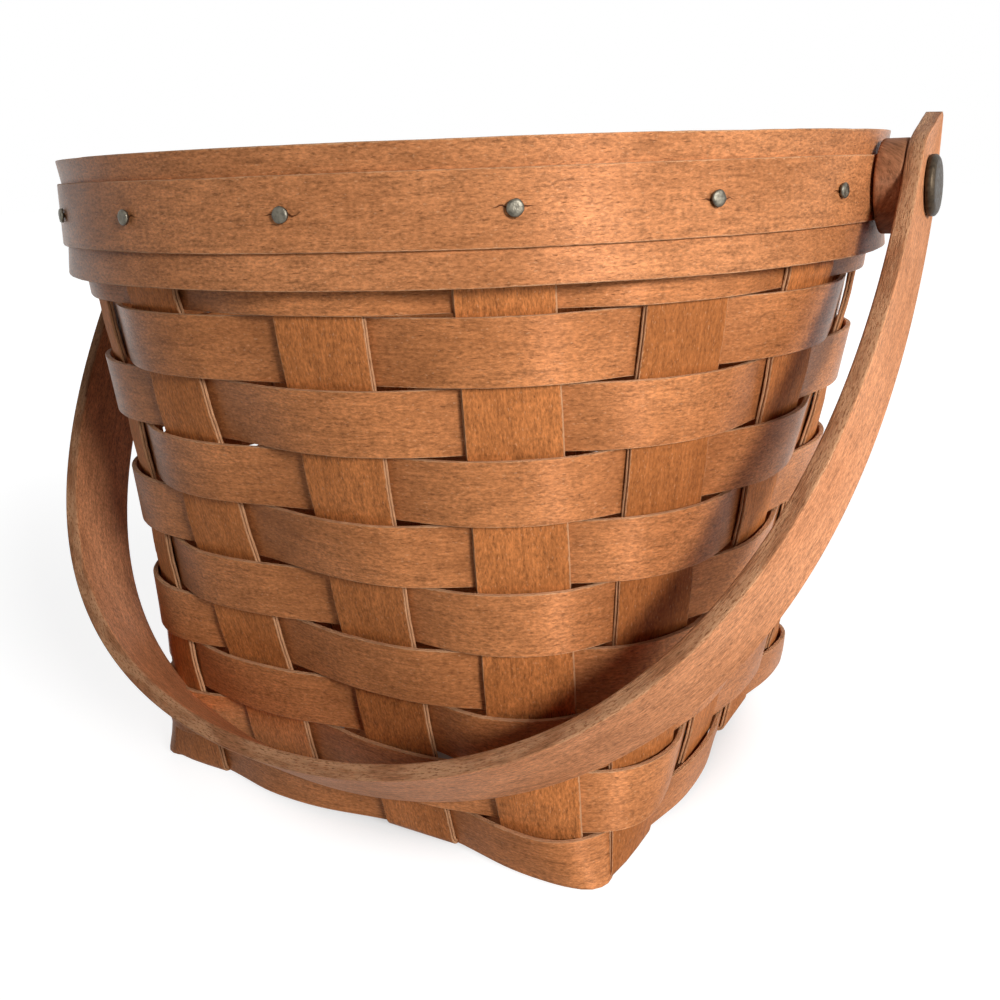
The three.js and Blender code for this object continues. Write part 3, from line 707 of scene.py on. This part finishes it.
class BASKET_OT_stakes(bpy.types.Operator):
    """Makes the eight stakes, each from the rim down one side, across the base and up the other"""

    bl_idname = "basket.stakes"
    bl_label = "Stakes"

    def execute(self, context):
        scene = context.scene
        splints = scene.basket_splints
        wall = Wall(scene)
        profile = Profile(
            splints.stake_width / 2, splints.thickness / 2, splints.edge, 4, splints.ply_inset
        )
        material = wood_material("stained_stake_wood", scene, scene.basket_colours.stake_stain, 0.5)
        for lane in range(PER_SIDE):
            for is_crosswise in (False, True):
                name = f"stake_{'left_right' if is_crosswise else 'front_back'}_{lane + 1}"
                stations = stake_stations(wall, splints, profile, lane, is_crosswise)
                middles = [station[MIDDLE_POINT] for station in stations]
                along = path_lengths(middles, STAKE_GRAIN_STEP * (lane + PER_SIDE * is_crosswise))
                depth = stake_depth(name, lane, is_crosswise)
                piece = sweep(f"split_{name}", stations, profile, along, depth=depth)
                weigh_normals(piece)
                seat(piece, "basket", name, material)
        return {"FINISHED"}


def stake_depth(name, lane, is_crosswise):
    """How deeply a stake took the stain."""
    if name == DARKEST_STAKE:
        return 0.36
    return 0.03 + 0.06 * wobble(lane * 1.7, is_crosswise * 5.1, 0.3)


def stake_stations(wall, splints, profile, lane, is_crosswise):
    """Rings of points along a stake, from one top end to the other."""
    if is_crosswise:
        ends = (UPRIGHTS - 1 - lane, PER_SIDE + lane)
    else:
        ends = (lane, 3 * PER_SIDE - 1 - lane)
    low = splints.thickness / 2
    high = low + splints.thickness + splints.clearance
    levels = [high if (lane + k) % 2 == is_crosswise else low for k in range(PER_SIDE)]
    start = upright_rings(wall, splints, profile, ends[0], levels[0])
    end = upright_rings(wall, splints, profile, ends[1], levels[-1])
    forward = Vector((1, 0, 0)) if is_crosswise else Vector((0, 1, 0))
    across = Vector((0, 1, 0)) if is_crosswise else Vector((1, 0, 0))
    sign = -1 if is_crosswise else 1
    place = wall.places[lane]
    steps = 8
    flat = []
    for k in range(PER_SIDE - 1):
        begin = wall.places[k] + wall.half_stake
        finish = wall.places[k + 1] - wall.half_stake
        for step in range(steps + 1):
            share = step / steps
            spot = across * place + forward * mix(begin, finish, share)
            spot.z = mix(levels[k], levels[k + 1], smooth(share))
            flat.append([
                spot + across * (sign * a) + Vector((0, 0, -out)) for a, out in profile.points
            ])
    turned = [profile.flipped(ring) for ring in reversed(end)]
    return [[wall.settled(spot) for spot in ring] for ring in start + flat + turned]


def upright_rings(wall, splints, profile, upright, level):
    """Rings of an upright from its top down to the end of its bend on the base."""
    quarter = upright // PER_SIDE - 1
    outward = Matrix.Rotation(quarter * math.pi / 2, 3, "Z") @ Vector((1, 0, 0))
    lowest = wall.rows[ROWS - 2][0]
    rings = []
    steps = 44
    for step in range(steps + 1):
        z = mix(wall.top, lowest, step / steps)
        ring = []
        for across, out in profile.points:
            spot, normal = wall.point(wall.arc(upright, z) + across, z)
            press = press_of(wall, upright, z) * PRESS
            ring.append(spot + normal * (out + press))
        rings.append(ring)
    bend_steps = 9
    for step in range(bend_steps, -1, -1):
        share = step / bend_steps
        rings.append([
            bend_point(wall, splints, upright, across, out, level, share, outward, lowest)
            for across, out in profile.points
        ])
    return rings


def press_of(wall, upright, z):
    """How the weavers push an upright: 1 where it stands proud, -1 where a weaver presses on it."""
    for row, (low, high) in enumerate(wall.rows):
        if low <= z <= high:
            side = -1 if (upright + row) % 2 == 0 else 1
            return side * math.sin(math.pi * (z - low) / (high - low)) ** 2
    return 0.0


def bend_point(wall, splints, upright, across, out, level, share, outward, lowest):
    """Point of an upright's bend, from flat on the base (share 0) to standing (share 1)."""
    foot, _ = wall.point(wall.arc(upright, 0) + across, 0)
    knee, knee_normal = wall.point(wall.arc(upright, lowest) + across, lowest)
    shift = knee - foot
    slope = shift.dot(outward) / lowest
    sideways = Vector((-outward.y, outward.x, 0))
    drift = shift.dot(sideways) / lowest
    full_turn = math.pi / 2 - math.atan(slope)
    radius = splints.bend_radius
    end_height = level + radius * (1 - math.cos(full_turn))
    start = wall.sizes.base_half + slope * end_height - radius * math.sin(full_turn)
    turn = share * full_turn
    z = level + radius * (1 - math.cos(turn))
    reach = start + radius * math.sin(turn)
    rise = smooth((z - level) / (end_height - level))
    spot = foot + outward * (reach - wall.sizes.base_half) + sideways * (drift * z * rise)
    spot.z = z
    normal = outward * math.sin(turn) + Vector((0, 0, -1)) * math.cos(turn)
    normal = normal.lerp(knee_normal, smooth(share) * share).normalized()
    return spot + normal * out


class BASKET_OT_weavers(bpy.types.Operator):
    """Makes the ten weaver rings, over one stake and under the next"""

    bl_idname = "basket.weavers"
    bl_label = "Weavers"

    def execute(self, context):
        scene = context.scene
        splints = scene.basket_splints
        wall = Wall(scene)
        material = wood_material("stained_weaver_wood", scene, scene.basket_colours.stain, 0.44)
        profile = Profile(splints.weaver_width / 2, splints.thickness / 2, splints.edge, 4)
        for row in range(ROWS):
            stations, tuck_shade = weaver_stations(wall, splints, profile, row)
            middles = [station[MIDDLE_POINT] for station in stations]
            along = path_lengths(middles, WEAVER_GRAIN_START + WEAVER_GRAIN_STEP * row)
            piece = sweep(
                f"split_{weaver_node(row)}", stations, profile, along,
                closed=True, tuck_shade=tuck_shade, depth=weaver_depth(row),
            )
            weigh_normals(piece)
            seat(piece, "basket", weaver_node(row), material)
        return {"FINISHED"}


def weaver_depth(row):
    """How much darker a weaver is drawn: most at the top row, less each row down to DARKER_ROWS,
    with a little random change.
    """
    if row >= DARKER_ROWS:
        return 0.0
    return mix(0.1, 0.0, row / DARKER_ROWS) + 0.06 * wobble(row * 1.37, 4.2)


def weaver_stations(wall, splints, profile, row):
    """Rings of points round a weaver, and how far each is tucked in behind a stake, which paints
    shade on the weaver there.
    """
    low, high = wall.rows[row]
    offset = splints.thickness + splints.clearance
    bulge = splints.bulge if row else 0.0
    scale = (high - low) / splints.weaver_width
    edge_zone = splints.weaver_width * 0.45
    fuzz = 0.12 * MM
    steps = 14
    stations = []
    tuck_shade = []
    for upright in range(UPRIGHTS + 1):
        side = 1 if (upright + row) % 2 == 0 else -1
        for step in range(steps if upright < UPRIGHTS else 1):
            share = step / steps
            wave = side * math.cos(math.pi * share)
            reach = offset * wave * (1.5 - 0.5 * wave * wave) + bulge * wave * abs(wave)
            ring = []
            for up, out in profile.points:
                z = (low + high) / 2 + up * scale
                if abs(up) > edge_zone:
                    ragged = 1 + wobble(upright * 2.3 + share * 3, row * 3.1, up * 200)
                    z -= math.copysign(fuzz * ragged, up)
                arc = mix(wall.arc(upright, z), wall.arc(upright + 1, z), share)
                spot, normal = wall.point(arc, z)
                ring.append(wall.settled(spot + normal * (reach + out)))
            stations.append(ring)
            # Painted shade, strongest where the weaver is tucked behind a stake
            tuck_shade.append(smooth(0.5 - 0.62 * wave))
    return stations, tuck_shade


class BASKET_OT_rim(bpy.types.Operator):
    """Makes the three rim bands, each a strip bent round and lapped on itself"""

    bl_idname = "basket.rim"
    bl_label = "Rim bands"

    def execute(self, context):
        scene = context.scene
        material = wood_material(
            "stained_band_wood", scene, scene.basket_colours.band_stain, 0.46, tacked=True
        )
        for name, (lap_at, start) in BANDS.items():
            stations, along, profile = band_stations(name, lap_at, start)
            piece = sweep(f"bent_{name}", stations, profile, along)
            weigh_normals(piece)
            seat(piece, "basket", name, material)
        return {"FINISHED"}


def band_thickness(name):
    """Thickness of a packed band, from its largest and smallest radius."""
    radii = [math.hypot(v.co.x, v.co.y) for v in frame["nodes"][name].data.vertices]
    return max(radii) - min(radii)


def band_stations(name, lap_at, start):
    """Rings of points round a band, whose ends taper to thin tips and lap on each other."""
    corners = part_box(name)
    low, high, outer = corners[0].z, corners[1].z, corners[1].y
    thickness = band_thickness(name)
    lap = math.radians(15)
    tip = 0.35 * MM
    gap = 0.3 * MM
    arris = 0.3 * MM
    middle_height = (low + high) / 2
    half = (high - low) / 2
    profile = Profile(half, thickness / 2, arris, 5)
    inner = outer - thickness
    seed = len(name)
    steps = 200
    stations = []
    along = []
    over = None
    if name == "rim_wide_band":
        over = [corner.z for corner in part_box("rim_outer_band")]
    for step in range(steps + 1):
        turn = (math.tau + lap) * step / steps
        angle = math.radians(lap_at) + turn
        outside, inside = outer, inner
        if turn < lap:
            outside = mix(inner + tip, outer - tip - gap, turn / lap)
        if turn > math.tau:
            inside = mix(inner + tip, outer - tip - gap, (turn - math.tau) / lap) + gap
        middle = (outside + inside) / 2
        share = (outside - inside) / thickness
        rise = 0.25 * MM * wobble(step * 0.11, seed)
        ring = []
        for up, out in profile.points:
            fuzz = 0.08 * MM * wobble(step * 0.9, up * 300, seed)
            radius = middle + out * share + spring_of(up, over, middle_height, half)
            z = middle_height + up + (rise + fuzz if abs(up) > half * 0.9 else 0)
            z = min(z, high) if up > 0 else max(z, low)
            ring.append(Vector((radius * math.cos(angle), radius * math.sin(angle), z)))
        stations.append(ring)
        along.append(start + outer * turn)
    return stations, along, profile


def spring_of(up, over, middle, half):
    """How far a band springs out above and below the band nailed over it."""
    if over and middle + up > over[1]:
        return mix(0.3, 1.25, (middle + up - over[1]) / (middle + half - over[1])) * MM
    if over and middle + up < over[0]:
        return mix(0.2, 0.8, (over[0] - middle - up) / (over[0] - middle + half)) * MM
    return 0.0


class BASKET_OT_tacks(bpy.types.Operator):
    """Makes the tacks that hold the rim bands at every stake"""

    bl_idname = "basket.tacks"
    bl_label = "Tacks"

    def execute(self, context):
        colours = context.scene.basket_colours
        material = metal_material("tack_head_steel", colours.steel, 0.42, 0.2 * MM)
        for number in range(TACK_COUNT):
            name = tack_node(number)
            azimuth, outer, height = tack_place(number)
            profile = [(outer - inward * MM, radius * MM) for inward, radius in TACK_SHAPE]
            piece = turned_piece(f"driven_{name}", profile, 20, azimuth, height, number + 1)
            seat(piece, "basket", name, material)
        return {"FINISHED"}


def turned_piece(name, profile, sides, azimuth, height, dent_seed=0):
    """Piece turned about a radius of the basket, from profile points as outward and radius. A
    dent seed gives it hammer marks and an edge that is a little out of round."""
    bm = bmesh.new()
    verts = [bm.verts.new((outward, 0.0, radius)) for outward, radius in profile]
    edges = [bm.edges.new(pair) for pair in zip(verts, verts[1:])]
    bmesh.ops.spin(
        bm, geom=verts + edges, cent=(0, 0, 0), axis=(1, 0, 0), angle=math.tau, steps=sides,
        use_merge=True,
    )
    bmesh.ops.remove_doubles(bm, verts=bm.verts, dist=MERGE_DISTANCE)
    if dent_seed:
        for vert in bm.verts:
            push = wobble(vert.co.y * 700, vert.co.z * 700, dent_seed * 7.3)
            vert.co.x += min(push, 0.0) * DENT_DEPTH
            if math.hypot(vert.co.y, vert.co.z) > 1 * MM:
                angle = math.atan2(vert.co.y, vert.co.z)
                rim = 1 + 0.07 * wobble(angle * 1.3, dent_seed * 3.1)
                vert.co.y *= rim
                vert.co.z *= rim
    bmesh.ops.rotate(bm, verts=bm.verts, cent=(0, 0, 0), matrix=Matrix.Rotation(azimuth, 3, "Z"))
    bmesh.ops.translate(bm, verts=bm.verts, vec=(0, 0, height))
    bmesh.ops.recalc_face_normals(bm, faces=bm.faces)
    return finished_object(name, bm)


class BASKET_OT_handle(bpy.types.Operator):
    """Makes the bent handle with its pointed ears"""

    bl_idname = "basket.handle"
    bl_label = "Handle"

    def execute(self, context):
        scene = context.scene
        sizes = scene.basket_handle
        stations, middles, profile = handle_stations(sizes)
        along = path_lengths(middles, HANDLE_GRAIN_START)
        piece = sweep("bent_handle", stations, profile, along)
        bm = bmesh.new()
        bm.from_mesh(piece.data)
        pivot = Vector(frame["joints"][0]["pos_m"])
        hang = Matrix.Rotation(-sizes.hang, 3, "X")
        bmesh.ops.rotate(bm, verts=bm.verts, cent=(0, 0, 0), matrix=hang)
        bmesh.ops.translate(bm, verts=bm.verts, vec=pivot)
        bm.to_mesh(piece.data)
        bm.free()
        weigh_normals(piece)
        material = wood_material(
            "bent_handle_wood", scene, scene.basket_colours.handle_stain, 0.46,
            torn=1.0, torn_colour=scene.basket_colours.handle_edge,
        )
        seat(piece, "handle", "swing_handle", material)
        return {"FINISHED"}


def handle_width(sizes, drop):
    """Width of the strip at a distance below the pivots, or above them in the ears."""
    if drop >= 0:
        return mix(sizes.pivot_width, sizes.grip_width, drop / sizes.drop)
    share = -drop / sizes.ear
    taper = mix(sizes.pivot_width, sizes.ear_tip, smooth(share**1.2))
    tip_share = max(share - EAR_BLUNT, 0) / (1 - EAR_BLUNT)
    return taper * math.sqrt(1 - 0.9 * tip_share)


def handle_stations(sizes):
    """Rings of points along the handle before it is hung. The ear stays a hair inside its solid."""
    span = handle_span(sizes)
    fine = 900
    raw = []
    for k in range(fine + 1):
        u = math.pi * k / fine
        fall = abs(math.sin(u)) ** (2 / sizes.drop_power)
        waist = 1 - sizes.waist * WAIST_PEAK * fall**2 * (1 - fall)
        x = span * math.copysign(abs(math.cos(u)) ** (2 / sizes.span_power), math.cos(u))
        raw.append(Vector((x * waist, sizes.drop * fall)))
    lengths = path_lengths(raw, 0.0)
    steps = 150
    bow = []
    at = 0
    for k in range(steps + 1):
        want = lengths[-1] * k / steps
        while at < fine - 1 and lengths[at + 1] < want:
            at += 1
        t = (want - lengths[at]) / (lengths[at + 1] - lengths[at])
        bow.append(raw[at].lerp(raw[at + 1], t))
    lean = math.tan(sizes.ear_lean)
    rivet_head = 7.2 * MM
    hair = 0.02 * MM
    ear = []
    for share in EAR_RINGS:
        rise = share * (sizes.ear - hair)
        ear.append(Vector((span + lean * max(rise - rivet_head, 0), -rise)))
    line = ear + bow + [Vector((-p.x, p.y)) for p in reversed(ear)]
    arris = 0.6 * MM
    profile = Profile(sizes.pivot_width / 2, sizes.thickness / 2, arris, 6)
    stations = []
    middles = []
    for k, place in enumerate(line):
        before = line[max(k - 1, 0)]
        after = line[min(k + 1, len(line) - 1)]
        along = (after - before).normalized()
        inward = Vector((-along.y, 0, -along.x))
        twist = sizes.twist * smooth(place.y / sizes.drop)
        front = Vector((0, -math.cos(twist), 0)) + inward * math.sin(twist)
        face = inward * math.cos(twist) + Vector((0, math.sin(twist), 0))
        scale = handle_width(sizes, place.y) / sizes.pivot_width
        middle = Vector((place.x, 0, -place.y))
        middles.append(middle)
        stations.append([middle + front * (w * scale) + face * -t for w, t in profile.points])
    return stations, middles, profile


def handle_span(sizes):
    """Half the spread of the handle's middle line at its pivots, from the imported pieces."""
    return high_corner("spacer_right").x + HANDLE_GAP + sizes.thickness / 2


class BASKET_OT_pivots(bpy.types.Operator):
    """Makes the spacers, rivets and washers of the two pivots"""

    bl_idname = "basket.pivots"
    bl_label = "Pivots"

    def execute(self, context):
        scene = context.scene
        bronze = metal_material("rivet_bronze", scene.basket_colours.bronze, 0.45, 0.1 * MM)
        wood = wood_material("turned_spacer_wood", scene, scene.basket_colours.spacer_stain, 0.58)
        height = frame["joints"][0]["pos_m"][2]
        for side, azimuth in (("right", 0.0), ("left", math.pi)):
            make_spacer(side, azimuth, height, wood)
            make_rivet(side, azimuth, height, bronze)
            make_washer(side, azimuth, height, bronze)
        return {"FINISHED"}


def reach_of(node):
    """Distances of a pivot piece's inner and outer end from the middle of the basket."""
    return sorted(abs(corner.x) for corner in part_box(node))


def radius_of(node):
    """Radius of a round pivot piece."""
    low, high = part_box(node)
    return (high.z - low.z) / 2


def make_spacer(side, azimuth, height, material):
    node = f"spacer_{side}"
    inner, outer = reach_of(node)
    radius = radius_of(node)
    edge = 0.5 * MM
    soft = edge * 0.3
    profile = [(inner, BORE_RADIUS), (inner, radius - edge), (inner + soft, radius - soft)]
    profile += [(mix(inner + edge, outer - edge, k / 4), radius) for k in range(5)]
    profile += [(outer - soft, radius - soft), (outer, radius - edge), (outer, BORE_RADIUS)]
    piece = turned_piece(f"turned_{node}", profile + profile[:1], 64, azimuth, height)
    add_length_map(piece)
    seat(piece, "basket", node, material)


def make_rivet(side, azimuth, height, material):
    """Makes a rivet from its peened end inside the washer to its flat head."""
    node = f"rivet_{side}"
    peen, outer = reach_of(node)
    head = radius_of(node)
    inside = reach_of(f"rivet_washer_{side}")[0] - 0.3 * MM
    back = outer - 2 * MM
    profile = [
        (peen, 0.0), (peen + 0.1 * MM, 2.6 * MM), (peen + 0.7 * MM, 3.8 * MM), (inside, 4 * MM),
        (inside, SHANK_RADIUS), (back, SHANK_RADIUS), (back, head - 0.15 * MM),
        (back + 0.15 * MM, head), (outer - 0.9 * MM, head), (outer - 0.55 * MM, head - 0.15 * MM),
        (outer - 0.12 * MM, head - 0.75 * MM), (outer, head - 1.1 * MM),
        (outer - 0.05 * MM, head * 0.5), (outer - 0.12 * MM, 0.0),
    ]
    piece = turned_piece(f"headed_{node}", profile, 56, azimuth, height)
    seat(piece, "basket", node, material)


def make_washer(side, azimuth, height, material):
    node = f"rivet_washer_{side}"
    inner, outer = reach_of(node)
    radius = radius_of(node)
    edge = 0.25 * MM
    profile = [
        (inner, BORE_RADIUS), (inner, radius - edge), (inner + edge, radius),
        (outer - edge, radius), (outer, radius - edge), (outer, BORE_RADIUS), (inner, BORE_RADIUS),
    ]
    piece = turned_piece(f"burr_washer_{side}", profile, 40, azimuth, height)
    seat(piece, "basket", node, material)


def add_length_map(piece):
    """Grain map of a turned wooden piece: the grain runs across its flat faces."""
    lean = 0.7
    bm = bmesh.new()
    bm.from_mesh(piece.data)
    grain = bm.loops.layers.uv.new("grain")
    for face in bm.faces:
        for loop in face.loops:
            spot = loop.vert.co
            loop[grain].uv = (spot.z, spot.y + spot.x * lean)
    bm.to_mesh(piece.data)
    bm.free()


class BASKET_OT_stage(bpy.types.Operator):
    """Sets up the camera, the floor, the world and the lamps"""

    bl_idname = "basket.stage"
    bl_label = "Stage"

    def execute(self, context):
        scene = context.scene
        make_camera(scene)
        make_floor(scene)
        make_world(scene)
        for name, settings in LAMPS.items():
            make_lamp(scene, name, *settings)
        scene.view_settings.view_transform = "Standard"
        return {"FINISHED"}


def make_camera(scene):
    view = scene.basket_view
    data = bpy.data.cameras.new("photo_camera")
    camera = bpy.data.objects.new("photo_camera", data)
    scene.collection.objects.link(camera)
    data.sensor_width = 36
    data.lens = view.lens
    data.shift_x = view.shift_x
    data.shift_y = view.shift_y
    data.clip_start = 0.01
    ahead = Vector((-math.sin(view.yaw), math.cos(view.yaw), 0))
    forward = ahead * math.cos(view.pitch) + Vector((0, 0, math.sin(view.pitch)))
    level = Vector((math.cos(view.yaw), math.sin(view.yaw), 0))
    upward = level.cross(forward)
    right = level * math.cos(view.roll) + upward * math.sin(view.roll)
    up = upward * math.cos(view.roll) - level * math.sin(view.roll)
    place = Vector((math.sin(view.azimuth), -math.cos(view.azimuth), 0)) * view.distance
    place.z = view.height
    matrix = Matrix((right, up, -forward)).transposed().to_4x4()
    matrix.translation = place
    camera.matrix_world = matrix
    scene.camera = camera


def make_floor(scene):
    """Makes the floor, which keeps the lamps' shadow under the basket and is white farther out; its
    glow fades out towards the basket, which paints a dark ring of shadow round the base.
    """
    bm = bmesh.new()
    bmesh.ops.create_grid(bm, x_segments=1, y_segments=1, size=6.0)
    floor = finished_object("floor", bm)
    material, nodes = new_material("floor_paper")
    diffuse = nodes.add("ShaderNodeBsdfDiffuse", {"Color": rgba(scene.basket_colours.floor)})
    place = nodes.add("ShaderNodeTexCoord").outputs["Object"]
    away = nodes.add("ShaderNodeVectorMath", {0: place}, operation="LENGTH").outputs["Value"]
    # Painted shadow: no glow under the basket, fading in round its base, so a dark ring lies beside
    # the lamps' own shadow
    near = nodes.span(away, 0.045, 0.09, 0.0, 0.84, soft=True)
    far = nodes.span(away, 0.16, 0.6, 0.0, 0.16, soft=True)
    white = nodes.math("MULTIPLY", nodes.background_rays(), nodes.math("ADD", near, far))
    glow = nodes.add("ShaderNodeEmission", {"Color": (1, 1, 1, 1), "Strength": white})
    surface = nodes.add("ShaderNodeAddShader", {0: diffuse, 1: glow})
    nodes.add("ShaderNodeOutputMaterial", {"Surface": surface})
    floor.data.materials.append(material)


def make_world(scene):
    """Makes a world that is seen white but gives the basket only a little light."""
    light = 0.03
    world = bpy.data.worlds.new("plain_studio")
    scene.world = world
    world.use_nodes = True
    world.node_tree.nodes.clear()
    nodes = Nodes(world.node_tree)
    strength = nodes.math("MULTIPLY", nodes.background_rays(), 1 - light)
    strength = nodes.math("ADD", strength, light)
    background = nodes.add("ShaderNodeBackground", {"Color": (1, 1, 1, 1), "Strength": strength})
    nodes.add("ShaderNodeOutputWorld", {"Surface": background})


def make_lamp(scene, name, azimuth, elevation, distance, size, power):
    """Makes a soft square lamp that faces the basket."""
    data = bpy.data.lights.new(name, "AREA")
    data.shape = "SQUARE"
    data.size = size
    data.energy = power
    lamp = bpy.data.objects.new(name, data)
    scene.collection.objects.link(lamp)
    turn, rise = math.radians(azimuth), math.radians(elevation)
    away = Vector((math.cos(turn), math.sin(turn), 0)) * math.cos(rise)
    away.z = math.sin(rise)
    lamp.location = LAMP_AIM + away * distance
    lamp.rotation_euler = away.to_track_quat("Z", "Y").to_euler()


class BASKET_PT_panel(bpy.types.Panel):
    """Lists the basket's pieces and its sizes"""

    bl_idname = "BASKET_PT_panel"
    bl_label = "Swing handle basket"
    bl_space_type = "VIEW_3D"
    bl_region_type = "UI"
    bl_category = "Basket"

    def draw(self, context):
        for operator in OPERATORS:
            self.layout.operator(operator.bl_idname)
        for group_name, group in PROPERTY_GROUPS.items():
            box = self.layout.box()
            for setting in group.__annotations__:
                box.prop(getattr(context.scene, group_name), setting)


OPERATORS = (
    BASKET_OT_stage,
    BASKET_OT_stakes,
    BASKET_OT_weavers,
    BASKET_OT_rim,
    BASKET_OT_tacks,
    BASKET_OT_handle,
    BASKET_OT_pivots,
)


def register():
    for group_name, group in PROPERTY_GROUPS.items():
        bpy.utils.register_class(group)
        setattr(bpy.types.Scene, group_name, PointerProperty(type=group))
    for operator in OPERATORS:
        bpy.utils.register_class(operator)
    bpy.utils.register_class(BASKET_PT_panel)


def unregister():
    bpy.utils.unregister_class(BASKET_PT_panel)
    for operator in reversed(OPERATORS):
        bpy.utils.unregister_class(operator)
    for group_name, group in reversed(PROPERTY_GROUPS.items()):
        delattr(bpy.types.Scene, group_name)
        bpy.utils.unregister_class(group)


def main():
    register()
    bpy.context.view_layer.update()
    bpy.ops.basket.stage()
    bpy.ops.basket.stakes()
    bpy.ops.basket.weavers()
    bpy.ops.basket.rim()
    bpy.ops.basket.tacks()
    bpy.ops.basket.handle()
    bpy.ops.basket.pivots()


if __name__ == "__main__":
    main()
